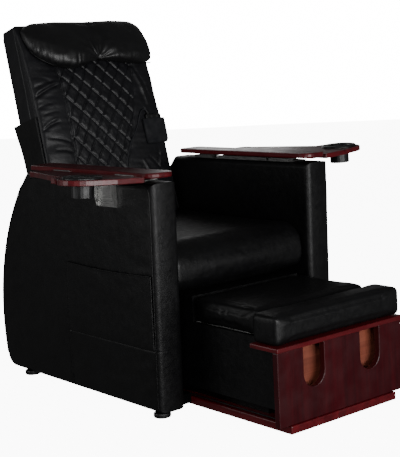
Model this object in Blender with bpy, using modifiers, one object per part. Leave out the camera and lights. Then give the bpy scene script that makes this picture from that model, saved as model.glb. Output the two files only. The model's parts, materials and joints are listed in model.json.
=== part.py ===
"""Pedicure spa chair: upholstered arm panels with wooden armrests and lift-up side trays,
a reclining massage backrest, and a footrest with a foot basin that rolls in under the seat.

Metres, +Z up, Z = 0 the floor, X = 0 the middle of the chair. The sitter faces -Y, so the
sitter's right is -X. Y is measured here from the foot of the arm panels' front, and an empty
that carries the whole chair shifts it back, so that the origin is under the chair's middle.
"""
import math

import bmesh
import bpy
from mathutils import Matrix, Vector

# ---------------------------------------------------------------- driving dimensions
GAP = 0.0003                    # gap between parts that touch
CHAIR_MIDDLE_Y = 0.2516         # middle of the chair's length, from the shelf to the backrest

ARM_OUTER = 0.340               # half of the chair's width over the arm panels
ARM_INNER = 0.250               # half of the clear width between the arm panels
ARM_BOTTOM = 0.014
ARM_TOP = 0.646
ARM_LEAN = 0.011                # the front edge is this much further forward at the top
ARM_ARC_CENTRE = (0.162, 0.180)  # y, z of the centre of the rounded back edge
ARM_ARC_RADIUS = 0.660
ARM_HEEL_RADIUS = 0.045
ARM_EDGE_ROUND = 0.012
ARM_FRAME_INSET = 0.024
ARM_FRAME_INNER = 0.275
ARM_FRAME_OUTER = 0.315

FOOT_RADIUS = 0.0245
FOOT_INSET = 0.022
REAR_FOOT_Y = 0.690

BOARD_TOP = 0.674
BOARD_THICK = 0.015
BOARD_X = (0.249, 0.3415)
BOARD_Y = (-0.010, 0.600)
BOARD_CORNER = 0.032
SPACER_X = (0.2525, 0.330)
SPACER_Z = (ARM_TOP + GAP, 0.6562)
SPACER_Y = ((0.072, 0.155), (0.170, 0.395), (0.430, 0.515))
SPACER_WALL = 0.002

TRAY_AXIS_X = 0.3447
TRAY_AXIS_Z = 0.6655
TRAY_TILT = math.radians(2.86)  # the trays rise a little towards their outer edge
TRAY_TOP = -0.0005              # heights in the tray's own frame
TRAY_THICK = 0.015
TRAY_INNER = 0.0031
TRAY_Y = (0.004, 0.470)
LOBE_CENTRE = (0.147, 0.085)    # out from the hinge axis, y
LOBE_RADIUS = 0.067
CUP_RADIUS = 0.031
CUP_DEPTH = 0.050
CUP_RIM_RADIUS = 0.0545
CUP_RIM_HEIGHT = 0.007
KNUCKLE_RADIUS = 0.0026
HINGE_PIN_RADIUS = 0.0014
LEAF_THICK = 0.002
TRAY_HINGE_Y = (0.060, 0.370)   # front end of each hinge
TRAY_HINGE_LENGTH = 0.080

BRACKET_Y = (0.146, 0.236)
BRACKET_Z = (0.573, 0.6455)
BRACKET_SHEET = 0.0022
BRACKET_REACH = 0.075

POCKET_Y = (0.014, 0.418)
POCKET_Z = (0.189, 0.395)
POCKET_DEPTH = 0.010
POCKET_WALL = 0.003

SEAT_HALF = 0.2465
SEAT_FRAME_Z = (0.328, 0.346)
SEAT_FRAME_Y = (0.100, 0.662)
SEAT_DECK_Z = (0.3463, 0.3523)
SEAT_REAR = 0.578

BACK_AXIS = (0.635, 0.400)      # y, z of the recline hinge
BACK_TILT = math.radians(14.3)
BACK_HALF = 0.2415
SHELL_BACK = 0.067              # depths in the backrest's frame: front is negative
SHELL_FRONT = -0.0115
SHELL_V = (0.030, 0.728)
SHELL_SIDE_WALL = 0.012
SHELL_BACK_WALL = 0.004
CUSHION_REAR = -0.0120
BACK_FRAME_X = 0.195
BACK_FRAME_W = 0.015
BACK_FRAME_TOP = 0.660
BACK_TUBE_RADIUS = 0.011
BACK_PIN_RADIUS = 0.006

ACTUATOR_FOOT = (0.700, 0.090)  # y, z of the lower pivot
LEVER_END = (0.740, 0.350)      # y, z of the upper pivot at rest

CARRIAGE_V = 0.300
RAIL_X = 0.095
RAIL_W = 0.050
ROLLER_RADIUS = 0.024
ROLLER_W = 0.0145
ROLLER_STEP = 0.055

BASE_HALF = 0.2028
BASE_Y = (-0.3663, 0.190)
BASE_Z = (0.0045, 0.0270)
PANEL_HALF = 0.239
PANEL_Y = (-0.362, -0.344)
PANEL_Z = (0.0273, 0.2235)
SLOT_X = 0.1075
SLOT_RADIUS = 0.038
SLOT_BOTTOM = 0.112
SHELF_HALF = 0.243
SHELF_Y = (-0.368, -0.264)
SHELF_Z = (0.2238, 0.2365)
PAD_HALF = 0.2405
PAD_Y = (-0.362, -0.268)
PAD_Z = (0.2368, 0.3180)
BOX_HALF = 0.205
BOX_Y = (-0.2630, 0.187)
BOX_Z = (0.060, 0.2445)
BOX_WALL = 0.012
LID_HALF = 0.210
LID_Y = (-0.262, -0.004)
LID_Z = (0.2448, 0.3180)
LID_AXIS = (-0.265, 0.314)
WHEEL_RADIUS = 0.0105
WHEEL_Y = (-0.300, 0.120)
WHEEL_X = 0.178
SIDES = (("right", -1), ("left", 1))

# ---------------------------------------------------------------- scene and materials
for old in list(bpy.data.objects):
    bpy.data.objects.remove(old, do_unlink=True)

chair = bpy.data.collections.new("pedicure_spa_chair")
cutters = bpy.data.collections.new("cutters")
bpy.context.scene.collection.children.link(chair)
bpy.context.scene.collection.children.link(cutters)


def make_material(name, colour, roughness, metallic=0.0):
    material = bpy.data.materials.new(name)
    material.use_nodes = True
    shader = material.node_tree.nodes["Principled BSDF"]
    shader.inputs["Base Color"].default_value = (*colour, 1.0)
    shader.inputs["Roughness"].default_value = roughness
    shader.inputs["Metallic"].default_value = metallic
    return material


LEATHER = make_material("black_leather", (0.012, 0.012, 0.014), 0.45)
QUILT = make_material("quilted_leather", (0.020, 0.020, 0.026), 0.50)
WOOD = make_material("mahogany", (0.110, 0.012, 0.014), 0.22)
RAW_WOOD = make_material("raw_wood", (0.230, 0.085, 0.050), 0.50)
PLYWOOD = make_material("plywood", (0.450, 0.330, 0.200), 0.70)
STEEL = make_material("bright_steel", (0.620, 0.620, 0.610), 0.28, 1.0)
DARK_STEEL = make_material("dark_steel", (0.050, 0.050, 0.055), 0.40, 1.0)
PLASTIC = make_material("black_plastic", (0.015, 0.015, 0.016), 0.35)
RUBBER = make_material("rubber", (0.030, 0.030, 0.030), 0.75)
TUB = make_material("tub_plastic", (0.780, 0.780, 0.760), 0.30)
MESH = make_material("pouch_mesh", (0.010, 0.012, 0.018), 0.80)


# ---------------------------------------------------------------- modelling helpers
chair_origin = bpy.data.objects.new("chair_origin", None)
chair.objects.link(chair_origin)
chair_origin.location = (0.0, -CHAIR_MIDDLE_Y, 0.0)


def add_object(name, data, material=None, parent=None, collection=chair):
    item = bpy.data.objects.new(name, data)
    collection.objects.link(item)
    if material:
        item.data.materials.append(material)
    item.parent = parent or (chair_origin if collection == chair else None)
    return item


def add_axis(name, location, rotation=(0.0, 0.0, 0.0), parent=None):
    """An empty on a joint's axis, which the moving pieces hang from."""
    axis = bpy.data.objects.new(name, None)
    chair.objects.link(axis)
    axis.location = location
    axis.rotation_euler = rotation
    axis.parent = parent or chair_origin
    return axis


def mesh_from(build):
    bm = bmesh.new()
    build(bm)
    bmesh.ops.recalc_face_normals(bm, faces=bm.faces)
    mesh = bpy.data.meshes.new("shape")
    bm.to_mesh(mesh)
    bm.free()
    return mesh


def add_bevel(item, width, segments=2):
    bevel = item.modifiers.new("rounded edges", "BEVEL")
    bevel.width = width
    bevel.segments = segments
    bevel.limit_method = "ANGLE"
    bevel.angle_limit = math.radians(40)
    return item


def fill_box(bm, low, high):
    centre = (Vector(low) + Vector(high)) / 2
    size = Vector(high) - Vector(low)
    matrix = Matrix.Translation(centre) @ Matrix.Diagonal((*size, 1.0))
    bmesh.ops.create_cube(bm, size=1.0, matrix=matrix)


def box(name, low, high, material=None, parent=None, bevel=0.0, segments=2, collection=chair):
    item = add_object(name, mesh_from(lambda bm: fill_box(bm, low, high)), material, parent, collection)
    return add_bevel(item, bevel, segments) if bevel else item


def turn_to(axis):
    """The rotation that lays a shape made along +Z along the named axis."""
    return {"x": Matrix.Rotation(math.pi / 2, 4, "Y"),
            "y": Matrix.Rotation(-math.pi / 2, 4, "X"),
            "z": Matrix.Identity(4)}[axis]


def fill_cylinder(bm, centre, radius, length, axis="z", sides=16):
    bmesh.ops.create_cone(bm, cap_ends=True, segments=sides, radius1=radius, radius2=radius,
                          depth=length, matrix=Matrix.Translation(centre) @ turn_to(axis))


def cylinder(name, centre, radius, length, axis="z", material=None, parent=None, sides=16,
             collection=chair):
    mesh = mesh_from(lambda bm: fill_cylinder(bm, centre, radius, length, axis, sides))
    item = add_object(name, mesh, material, parent, collection)
    item.data.shade_smooth()
    item.data.set_sharp_from_angle(angle=math.radians(40))
    return item


def arc(centre, radius, start, end, steps):
    """Points on an arc, angles in degrees, both ends included."""
    angles = [math.radians(start + (end - start) * i / steps) for i in range(steps + 1)]
    return [(centre[0] + radius * math.cos(a), centre[1] + radius * math.sin(a)) for a in angles]


def plate(name, outline, low, high, axis, material=None, parent=None, bevel=0.0, segments=2,
          collection=chair):
    """A flat outline made thick: its points are (y, z) for axis x and (x, y) for axis z."""
    curve = bpy.data.curves.new("outline", "CURVE")
    curve.dimensions = "2D"
    curve.fill_mode = "BOTH"
    curve.extrude = (high - low) / 2
    spline = curve.splines.new("POLY")
    spline.points.add(len(outline) - 1)
    for point, (a, b) in zip(spline.points, outline):
        point.co = (a, b, 0.0, 1.0)
    spline.use_cyclic_u = True
    guide = add_object("outline_guide", curve, collection=cutters)
    mesh = bpy.data.meshes.new_from_object(guide.evaluated_get(bpy.context.evaluated_depsgraph_get()))
    bpy.data.objects.remove(guide, do_unlink=True)
    swap = Matrix(((0, 0, 1, 0), (1, 0, 0, 0), (0, 1, 0, 0), (0, 0, 0, 1)))
    middle = (low + high) / 2
    if axis == "x":
        mesh.transform(Matrix.Translation((middle, 0, 0)) @ swap)
    else:
        mesh.transform(Matrix.Translation((0, 0, middle)))
    bm = bmesh.new()
    bm.from_mesh(mesh)
    bmesh.ops.remove_doubles(bm, verts=bm.verts, dist=0.00001)
    bmesh.ops.dissolve_limit(bm, angle_limit=math.radians(1), verts=bm.verts, edges=bm.edges)
    bmesh.ops.recalc_face_normals(bm, faces=bm.faces)
    bm.to_mesh(mesh)
    bm.free()
    item = add_object(name, mesh, material, parent, collection)
    return add_bevel(item, bevel, segments) if bevel else item


def tube(name, points, radius, material, parent=None, sides=2, cyclic=False):
    curve = bpy.data.curves.new(name, "CURVE")
    curve.dimensions = "3D"
    curve.bevel_depth = radius
    curve.bevel_resolution = sides
    curve.use_fill_caps = not cyclic
    spline = curve.splines.new("POLY")
    spline.points.add(len(points) - 1)
    for point, place in zip(spline.points, points):
        point.co = (*place, 1.0)
    spline.use_cyclic_u = cyclic
    return add_object(name, curve, material, parent)


def boolean(item, other, operation):
    """Cut or join with a guide shape, which stays in the cutters' collection."""
    step = item.modifiers.new(operation.lower(), "BOOLEAN")
    step.operation = operation
    step.object = other
    other.hide_render = True
    other.display_type = "WIRE"
    if other.parent is None:
        other.parent = item.parent
    return item


def cut(item, *others):
    for other in others:
        boolean(item, other, "DIFFERENCE")
    return item


def join(item, *others):
    for other in others:
        boolean(item, other, "UNION")
    return item


def guide_box(low, high):
    return box("guide_box", low, high, collection=cutters)


def guide_cylinder(centre, radius, length, axis="z", sides=16):
    return cylinder("guide_cylinder", centre, radius, length, axis, sides=sides, collection=cutters)


def mirror_x(low, high, side):
    """The box between two corners given on the left, moved to the asked side."""
    if side > 0:
        return low, high
    return (-high[0], low[1], low[2]), (-low[0], high[1], high[2])


def smooth_path(points, step):
    """Evenly spaced points on a smooth curve through the given ones."""
    ends = [2 * Vector(points[0]) - Vector(points[1]), 2 * Vector(points[-1]) - Vector(points[-2])]
    knots = [ends[0], *[Vector(p) for p in points], ends[1]]
    fine = []
    for a, b, c, d in zip(knots, knots[1:], knots[2:], knots[3:]):
        for i in range(20):
            t = i / 20
            fine.append(0.5 * (2 * b + (c - a) * t + (2 * a - 5 * b + 4 * c - d) * t ** 2
                               + (3 * b - a - 3 * c + d) * t ** 3))
    fine.append(Vector(points[-1]))
    total = sum((q - p).length for p, q in zip(fine, fine[1:]))
    count = max(2, round(total / step))
    path, walked, target = [fine[0]], 0.0, total / count
    for p, q in zip(fine, fine[1:]):
        length = (q - p).length
        while walked + length >= target - 1e-9 and len(path) < count:
            path.append(p.lerp(q, (target - walked) / length))
            target += total / count
        walked += length
    path.append(fine[-1])
    return path


# ---------------------------------------------------------------- arm panels
def arm_outline(inset=0.0, bottom=None):
    """Side view of an arm panel, as (y, z): straight front, rounded back."""
    bottom = ARM_BOTTOM + inset if bottom is None else bottom
    top = ARM_TOP - inset
    radius = ARM_ARC_RADIUS - inset
    heel = max(ARM_HEEL_RADIUS - inset, 0.01)
    start = math.degrees(math.asin((top - ARM_ARC_CENTRE[1]) / radius))
    end = math.degrees(math.asin((ARM_BOTTOM + inset + heel - ARM_ARC_CENTRE[1]) / radius))
    back = arc(ARM_ARC_CENTRE, radius, start, end, 12)
    heel_centre = (back[-1][0] - heel, back[-1][1])
    rounding = arc(heel_centre, heel, 0, -90, 4)[1:]
    rounding = [(y, max(z, bottom)) for y, z in rounding]
    front = [(inset, bottom), (inset - ARM_LEAN, top)]
    return front + back + rounding


def build_arm(name, side):
    low, high = sorted((side * ARM_INNER, side * ARM_OUTER))
    cover = plate(f"{name}_arm_cover", arm_outline(), low, high, "x", LEATHER)
    add_bevel(cover, ARM_EDGE_ROUND, 2)
    low, high = sorted((side * ARM_FRAME_INNER, side * ARM_FRAME_OUTER))
    plate(f"{name}_arm_frame", arm_outline(ARM_FRAME_INSET, ARM_BOTTOM + 0.002), low, high, "x", PLYWOOD)
    cavity = plate("arm_cavity", arm_outline(ARM_FRAME_INSET - 0.0006, ARM_BOTTOM - 0.02),
                   low - 0.0006, high + 0.0006, "x", collection=cutters)
    cut(cover, cavity)


def build_pocket(name, side):
    outer = mirror_x((ARM_OUTER + GAP, POCKET_Y[0], POCKET_Z[0]),
                     (ARM_OUTER + POCKET_DEPTH, POCKET_Y[1], POCKET_Z[1]), side)
    inner = mirror_x((ARM_OUTER - 0.01, POCKET_Y[0] + 0.006, POCKET_Z[0] + 0.006),
                     (ARM_OUTER + POCKET_DEPTH - POCKET_WALL, POCKET_Y[1] - 0.006, POCKET_Z[1] + 0.02),
                     side)
    pocket = box(f"{name}_side_pocket", *outer, LEATHER)
    cut(pocket, guide_box(*inner))


def build_feet(name, side):
    for place, y in (("front", FOOT_INSET), ("rear", REAR_FOOT_Y)):
        centre = (side * (ARM_OUTER - FOOT_INSET), y, (ARM_BOTTOM - GAP) / 2)
        foot = cylinder(f"{name}_{place}_foot", centre, FOOT_RADIUS, ARM_BOTTOM - GAP,
                        material=PLASTIC, sides=20)
        add_bevel(foot, 0.003, 2)


# ---------------------------------------------------------------- armrests and trays
def build_board(name, side):
    (x0, x1), (y0, y1), r = BOARD_X, BOARD_Y, BOARD_CORNER
    outline = (arc((x0 + r, y0 + r), r, 180, 270, 5) + arc((x1 - r, y0 + r), r, 270, 360, 5)
               + arc((x1 - 0.02, y1 - 0.02), 0.02, 0, 90, 4) + arc((x0 + 0.02, y1 - 0.02), 0.02, 90, 180, 4))
    outline = [(side * x, y) for x, y in outline]
    plate(f"{name}_armrest_board", outline, BOARD_TOP - BOARD_THICK, BOARD_TOP, "z", WOOD, bevel=0.004)


def build_spacer(name, side):
    """A steel strip with three raised channels that hold the armrest board clear of the arm."""
    (x0, x1), (z0, z1), wall = SPACER_X, SPACER_Z, SPACER_WALL
    low, high = (x0, SPACER_Y[0][0], z0), (x0 + 0.020, SPACER_Y[-1][1], z0 + wall)
    spacer = box(f"{name}_board_spacer", *mirror_x(low, high, side), STEEL)
    for y0, y1 in SPACER_Y:
        join(spacer, guide_box(*mirror_x((x0, y0, z0), (x1, y1, z1), side)))
    for y0, y1 in SPACER_Y:
        hollow = mirror_x((x0 + 0.022, y0 - 0.01, z0 + wall), (x1 + 0.01, y1 + 0.01, z1 - wall), side)
        cut(spacer, guide_box(*hollow))


def fill_knuckles(bm, x, z, spans):
    for y0, y1 in spans:
        fill_cylinder(bm, (x, (y0 + y1) / 2, z), KNUCKLE_RADIUS, y1 - y0, "y", 12)


def hinge_spans(start, fixed):
    """The stretches of a hinge's length that one leaf's knuckles take."""
    third = TRAY_HINGE_LENGTH / 3
    if fixed:
        return (start, start + third - GAP), (start + 2 * third + GAP, start + 3 * third)
    return ((start + third + GAP, start + 2 * third - GAP),)


def build_fixed_leaf(name, side):
    """The hinge leaf under an armrest board; it turns up beside the board to its knuckles,
    which hold the hinge pin."""
    z_flat = BOARD_TOP - BOARD_THICK - 0.0005 - LEAF_THICK
    y0, y1 = TRAY_HINGE_Y[0], TRAY_HINGE_Y[-1] + TRAY_HINGE_LENGTH
    flat = mirror_x((0.290, y0, z_flat), (TRAY_AXIS_X - 0.0006, y1, z_flat + LEAF_THICK), side)
    leaf = box(f"{name}_fixed_hinge_leaf", *flat, STEEL)

    spans = [span for start in TRAY_HINGE_Y for span in hinge_spans(start, True)]
    for low_y, high_y in spans:
        turn_up = mirror_x((TRAY_AXIS_X - 0.0026, low_y, z_flat + 0.0005),
                           (TRAY_AXIS_X - 0.0006, high_y, TRAY_AXIS_Z), side)
        join(leaf, guide_box(*turn_up))
    x = side * TRAY_AXIS_X
    knuckles = mesh_from(lambda bm: fill_knuckles(bm, x, TRAY_AXIS_Z, spans))
    join(leaf, add_object("guide_knuckles", knuckles, collection=cutters))
    for start in TRAY_HINGE_Y:
        middle = (x, start + TRAY_HINGE_LENGTH / 2, TRAY_AXIS_Z)
        join(leaf, guide_cylinder(middle, HINGE_PIN_RADIUS, TRAY_HINGE_LENGTH - 0.002, "y", 12))


def tray_outline():
    """Top view of a side tray, as (out from the hinge, y): a cup lobe at the front corner,
    then a waist and a tail that narrows towards the back."""
    y0, y1 = TRAY_Y
    cx, cy = LOBE_CENTRE
    lobe = arc((cx, cy), LOBE_RADIUS, -78, 48, 9)
    waist = arc((cx + 0.082, cy + 0.082), 0.044, 228, 166, 3)
    tail = [(0.150, 0.190), (0.124, 0.290), (0.098, 0.380), (0.086, 0.425)]
    tip = arc((0.056, y1 - 0.030), 0.030, 0, 90, 4)
    return [(TRAY_INNER, y0), (0.090, y0 + 0.002)] + lobe + waist + tail + tip + [(TRAY_INNER, y1)]


def build_tray(name, side):
    axis = add_axis(f"{name}_tray_axis", (side * TRAY_AXIS_X, 0.0, TRAY_AXIS_Z),
                    (0.0, -side * TRAY_TILT, 0.0))
    outline = [(side * x, y) for x, y in tray_outline()]
    tray = plate(f"{name}_tray", outline, TRAY_TOP - TRAY_THICK, TRAY_TOP, "z", WOOD, axis, bevel=0.004)
    cup_x, cup_y = side * LOBE_CENTRE[0], LOBE_CENTRE[1]
    cut(tray, guide_cylinder((cup_x, cup_y, 0.0), CUP_RADIUS + 0.001, 0.1, sides=24))

    under = TRAY_TOP - TRAY_THICK - GAP
    y0, y1 = TRAY_HINGE_Y[0], TRAY_HINGE_Y[-1] + TRAY_HINGE_LENGTH

    def build_turn_ups(bm):
        for start in TRAY_HINGE_Y:
            for y0, y1 in hinge_spans(start, False):
                fill_box(bm, *mirror_x((0.0006, y0, under - 0.001), (0.0026, y1, 0.0), side))

    flat = mirror_x((0.0008, y0, under - LEAF_THICK), (0.045, y1, under), side)
    leaves = box(f"{name}_tray_hinge_leaf", *flat, STEEL, axis)
    join(leaves, add_object("guide_turn_ups", mesh_from(build_turn_ups), collection=cutters))
    spans = [span for start in TRAY_HINGE_Y for span in hinge_spans(start, False)]
    knuckles = mesh_from(lambda bm: fill_knuckles(bm, 0.0, 0.0, spans))
    join(leaves, add_object("guide_knuckles", knuckles, collection=cutters))
    cut(leaves, guide_cylinder((0.0, 0.25, 0.0), HINGE_PIN_RADIUS + 0.0003, 0.5, "y", 12))
    build_cup(name, axis, (cup_x, cup_y, 0.0))


def build_cup(name, axis, centre):
    """A turned cup holder: a thin cup that hangs in the tray from a raised round rim."""
    wall, r, rim = 0.0016, CUP_RADIUS, CUP_RIM_RADIUS
    profile = [(0.0, -CUP_DEPTH + wall), (r - wall, -CUP_DEPTH + wall), (r - wall, 0.003),
               (r + 0.003, CUP_RIM_HEIGHT - 0.002), (rim - 0.012, CUP_RIM_HEIGHT - 0.002),
               (rim - 0.007, CUP_RIM_HEIGHT), (rim - 0.002, CUP_RIM_HEIGHT - 0.001),
               (rim, 0.002), (rim, -0.0002), (r, -0.0002), (r - 0.001, -CUP_DEPTH), (0.0, -CUP_DEPTH)]
    mesh = bpy.data.meshes.new("cup_profile")
    mesh.from_pydata([(x, 0.0, z) for x, z in profile], [(i, i + 1) for i in range(len(profile) - 1)], [])
    cup = add_object(f"{name}_cup_holder", mesh, PLASTIC, axis)
    cup.location = centre
    turn = cup.modifiers.new("turned", "SCREW")
    turn.axis = "Z"
    turn.steps = 24
    turn.render_steps = 24
    turn.use_merge_vertices = True
    turn.merge_threshold = 0.00001


def build_bracket(name, side):
    """A bent steel bracket, screwed to the arm's side, that the tray rests on."""
    (y0, y1), (z0, z1), t = BRACKET_Y, BRACKET_Z, BRACKET_SHEET
    x = ARM_OUTER + GAP
    bracket = box(f"{name}_tray_bracket", *mirror_x((x, y0, z0), (x + t, y1, z1), side), STEEL)
    for y in (y0, y1 - t):
        lip = [(x + 0.001, z0), (x + 0.009, z0 + 0.003), (x + 0.022, z1 + 0.0008), (x + 0.001, z1)]
        lip = plate("guide_lip", [(side * a, b) for a, b in lip], -y - t, -y, "z", collection=cutters)
        lip.rotation_euler = (math.pi / 2, 0.0, 0.0)
        join(bracket, lip)
    top = TRAY_TOP - TRAY_THICK - LEAF_THICK - 2 * GAP
    shelf = guide_box(*mirror_x((-0.0035, y0, top - t), (BRACKET_REACH, y1, top), side))
    shelf.location = (side * TRAY_AXIS_X, 0.0, TRAY_AXIS_Z)
    shelf.rotation_euler = (0.0, -side * TRAY_TILT, 0.0)
    join(bracket, shelf)


# ---------------------------------------------------------------- seat and rear structure
def build_seat():
    (z0, z1), (y0, y1) = SEAT_FRAME_Z, SEAT_FRAME_Y
    edge = ARM_INNER - GAP
    frame = box("seat_frame", (-edge, y0, z0), (edge, y0 + 0.025, z1), DARK_STEEL)
    join(frame, guide_box((-edge, 0.530, z0), (edge, 0.555, z1)))
    y, z = BACK_AXIS
    ear = ([(y - 0.040, z0 + 0.004), (y + 0.026, z0 + 0.004)] + arc((y, z), 0.024, -10, 190, 8))
    for _, side in SIDES:
        join(frame, guide_box(*mirror_x((edge - 0.025, y0, z0), (edge, y1, z1), side)))
        low, high = sorted((side * 0.2270, side * 0.2330))
        join(frame, plate("guide_ear", ear, low, high, "x", collection=cutters))
    cut(frame, guide_cylinder((0.0, y, z), BACK_PIN_RADIUS + 0.0005, 0.6, "x", 20))

    box("seat_deck", (-SEAT_HALF, 0.132, SEAT_DECK_Z[0]), (SEAT_HALF, SEAT_REAR, SEAT_DECK_Z[1]), PLYWOOD)
    under = SEAT_DECK_Z[1] + GAP
    nose = arc((0.083, 0.394), 0.073, 90, 180, 7) + arc((0.050, 0.365), 0.040, 180, 262, 5)
    outline = ([(SEAT_REAR, under), (SEAT_REAR, 0.464), (SEAT_REAR - 0.010, 0.471)] + nose
               + [(0.090, 0.3252), (0.0955, 0.3300), (0.0965, 0.3468), (0.112, 0.3468), (0.114, under)])
    plate("seat_cushion", outline, -SEAT_HALF, SEAT_HALF, "x", LEATHER, bevel=0.014)


def build_actuator_mount():
    y, z = ACTUATOR_FOOT
    mount = cylinder("actuator_mount", (0.0, y, z - 0.040), 0.012, 2 * (ARM_INNER - GAP), "x", DARK_STEEL)
    for x in (-0.0130, 0.0080):
        ear = plate("guide_ear", [(y - 0.010, z - 0.040), (y + 0.010, z - 0.040)]
                    + arc((y, z), 0.010, 0, 180, 6), x, x + 0.005, "x", collection=cutters)
        join(mount, ear)
    join(mount, guide_cylinder((0.0, y, z), 0.005, 0.030, "x", 12))


def build_rear_panel():
    box("rear_panel", (-ARM_INNER + GAP, 0.748, 0.050), (ARM_INNER - GAP, 0.763, 0.300), LEATHER, bevel=0.003)
    inlet = box("power_inlet", (0.130, 0.7633, 0.100), (0.172, 0.785, 0.132), PLASTIC, bevel=0.002)
    cut(inlet, guide_box((0.137, 0.772, 0.106), (0.165, 0.80, 0.126)))


def build_guide_rails():
    """A U of steel channel along the feet of the arm panels, which keeps the footrest straight."""
    edge = ARM_INNER - GAP
    rails = box("guide_rails", (-0.230, 0.545, 0.0130), (0.230, 0.558, 0.0240), DARK_STEEL)
    for _, side in SIDES:
        channel = mirror_x((0.2075, 0.030, 0.0120), (edge, 0.560, 0.0400), side)
        trough = mirror_x((0.2105, 0.020, 0.0150), (edge - 0.003, 0.570, 0.0500), side)
        join(rails, cut(guide_box(*channel), guide_box(*trough)))


# ---------------------------------------------------------------- backrest
def build_back_frame(back):
    """A loop of steel tube with stub pins for the recline hinge, and the recline lever."""
    x, top, r = BACK_FRAME_X, BACK_FRAME_TOP, 0.04
    loop = (arc((x - r, top - r), r, 0, 90, 4) + arc((r - x, top - r), r, 90, 180, 4)
            + arc((r - x, r), r, 180, 270, 4) + arc((x - r, r), r, 270, 360, 4))
    points = [(a, BACK_FRAME_W * min(1.0, max(b, 0.0) / 0.1), b) for a, b in loop]
    guide = tube("tube_guide", points, BACK_TUBE_RADIUS, DARK_STEEL, sides=2, cyclic=True)
    mesh = bpy.data.meshes.new_from_object(guide.evaluated_get(bpy.context.evaluated_depsgraph_get()))
    bpy.data.objects.remove(guide, do_unlink=True)
    mesh.name = "back_frame"
    frame = add_object("back_frame", mesh, None, back)
    for _, side in SIDES:
        join(frame, guide_box(*mirror_x((0.1900, -0.008, -0.010), (0.2160, 0.018, 0.075), side)))
        join(frame, guide_cylinder((side * 0.2235, 0.0, 0.0), BACK_PIN_RADIUS, 0.0290, "x", 20))

    y, z = LEVER_END[0] - BACK_AXIS[0], LEVER_END[1] - BACK_AXIS[1]
    c, s = math.cos(BACK_TILT), math.sin(BACK_TILT)
    end = (y * c - z * s, y * s + z * c)
    outline = (arc((0.0, 0.0), 0.020, 60, 250, 8)
               + [(end[0] - 0.004, end[1] - 0.010)] + arc(end, 0.010, -60, 80, 5))
    join(frame, plate("guide_lever", outline, -0.0040, 0.0040, "x", collection=cutters))
    join(frame, guide_cylinder((0.0, *end), 0.005, 0.034, "x", 12))


def build_shell(back):
    (v0, v1), half = SHELL_V, BACK_HALF
    outline = ([(SHELL_FRONT, v0), (SHELL_BACK, v0)] + arc((SHELL_BACK - 0.03, v1 - 0.03), 0.03, 0, 90, 5)
               + [(0.0, v1), (SHELL_FRONT, v1 - 0.003)])
    shell = plate("back_shell", outline, -half, half, "x", LEATHER, back, bevel=0.008)
    inner = half - SHELL_SIDE_WALL
    cut(shell, guide_box((-inner, -0.1, -0.1), (inner, SHELL_BACK - SHELL_BACK_WALL, v1 - 0.014)))


def build_back_cushion(back):
    outline = [(CUSHION_REAR, SHELL_V[0]), (-0.060, SHELL_V[0]), (-0.066, 0.200), (-0.066, 0.400),
               (-0.061, 0.520), (-0.048, 0.640), (-0.027, 0.702), (CUSHION_REAR, 0.722)]
    plate("back_cushion", outline, -BACK_HALF, BACK_HALF, "x", QUILT, back, bevel=0.008)


def build_pillow(back):
    outline = [(-0.0285, 0.736), (-0.062, 0.722), (-0.091, 0.672), (-0.101, 0.618), (-0.090, 0.578),
               (-0.070, 0.569), (-0.0600, 0.580), (-0.0500, 0.645), (-0.0285, 0.708)]
    plate("head_pillow", outline, -0.2430, 0.2430, "x", LEATHER, back, bevel=0.012)


def build_skirt(back):
    """A fabric skirt round the sides and back of the backrest's lower half; it flares
    away from the shell at its top and tapers towards the hinge."""
    def fill_wedge(bm, half, front, top_rear, low_rear, low, high):
        made = bmesh.ops.create_cube(bm, size=1.0)
        for vert in made["verts"]:
            top = vert.co.z > 0
            vert.co.x = half if vert.co.x > 0 else -half
            rear = top_rear if top else low_rear
            vert.co.y = rear if vert.co.y > 0 else front
            vert.co.z = high if top else low
    outer = mesh_from(lambda bm: fill_wedge(bm, 0.2465, -0.046, 0.105, 0.0720, 0.060, 0.417))
    skirt = add_object("back_skirt", outer, LEATHER, back)
    inner = mesh_from(lambda bm: fill_wedge(bm, 0.2425, -0.200, 0.101, 0.0680, 0.059, 0.418))
    cut(skirt, add_object("guide_skirt", inner, collection=cutters))


def build_actuator():
    """The recline actuator: a housing on the rear crossbar and a rod that lifts the lever."""
    dy, dz = LEVER_END[0] - ACTUATOR_FOOT[0], LEVER_END[1] - ACTUATOR_FOOT[1]
    length = math.hypot(dy, dz)
    axis = add_axis("actuator_axis", (0.0, *ACTUATOR_FOOT), (-math.atan2(dy, dz), 0.0, 0.0))
    body = cylinder("actuator_body", (0.0, 0.0, 0.090), 0.020, 0.144, "z", PLASTIC, axis, 20)
    eye = plate("guide_eye", [(0.009, 0.030), (-0.009, 0.030)] + arc((0.0, 0.0), 0.009, 180, 360, 6),
                -0.006, 0.006, "x", collection=cutters)
    join(body, eye)
    cut(body, guide_cylinder((0.0, 0.0, 0.0), 0.0056, 0.1, "x", 12))
    cut(body, guide_cylinder((0.0, 0.0, 0.110), 0.0092, 0.140, "z", 16))
    rod = cylinder("actuator_rod", (0.0, 0.0, 0.1635), 0.008, 0.145, "z", STEEL, axis, 16)
    join(rod, guide_box((-0.015, -0.012, length - 0.032), (0.015, 0.012, length - 0.018)))
    for x in (-0.015, 0.009):
        cheek = plate("guide_cheek", [(-0.020, length - 0.030), (0.020, length - 0.030)]
                      + arc((0.0, length), 0.020, 0, 180, 8), x, x + 0.006, "x", collection=cutters)
        join(rod, cheek)
    cut(rod, guide_cylinder((0.0, 0.0, length), 0.0125, 0.1, "x", 20))


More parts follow.
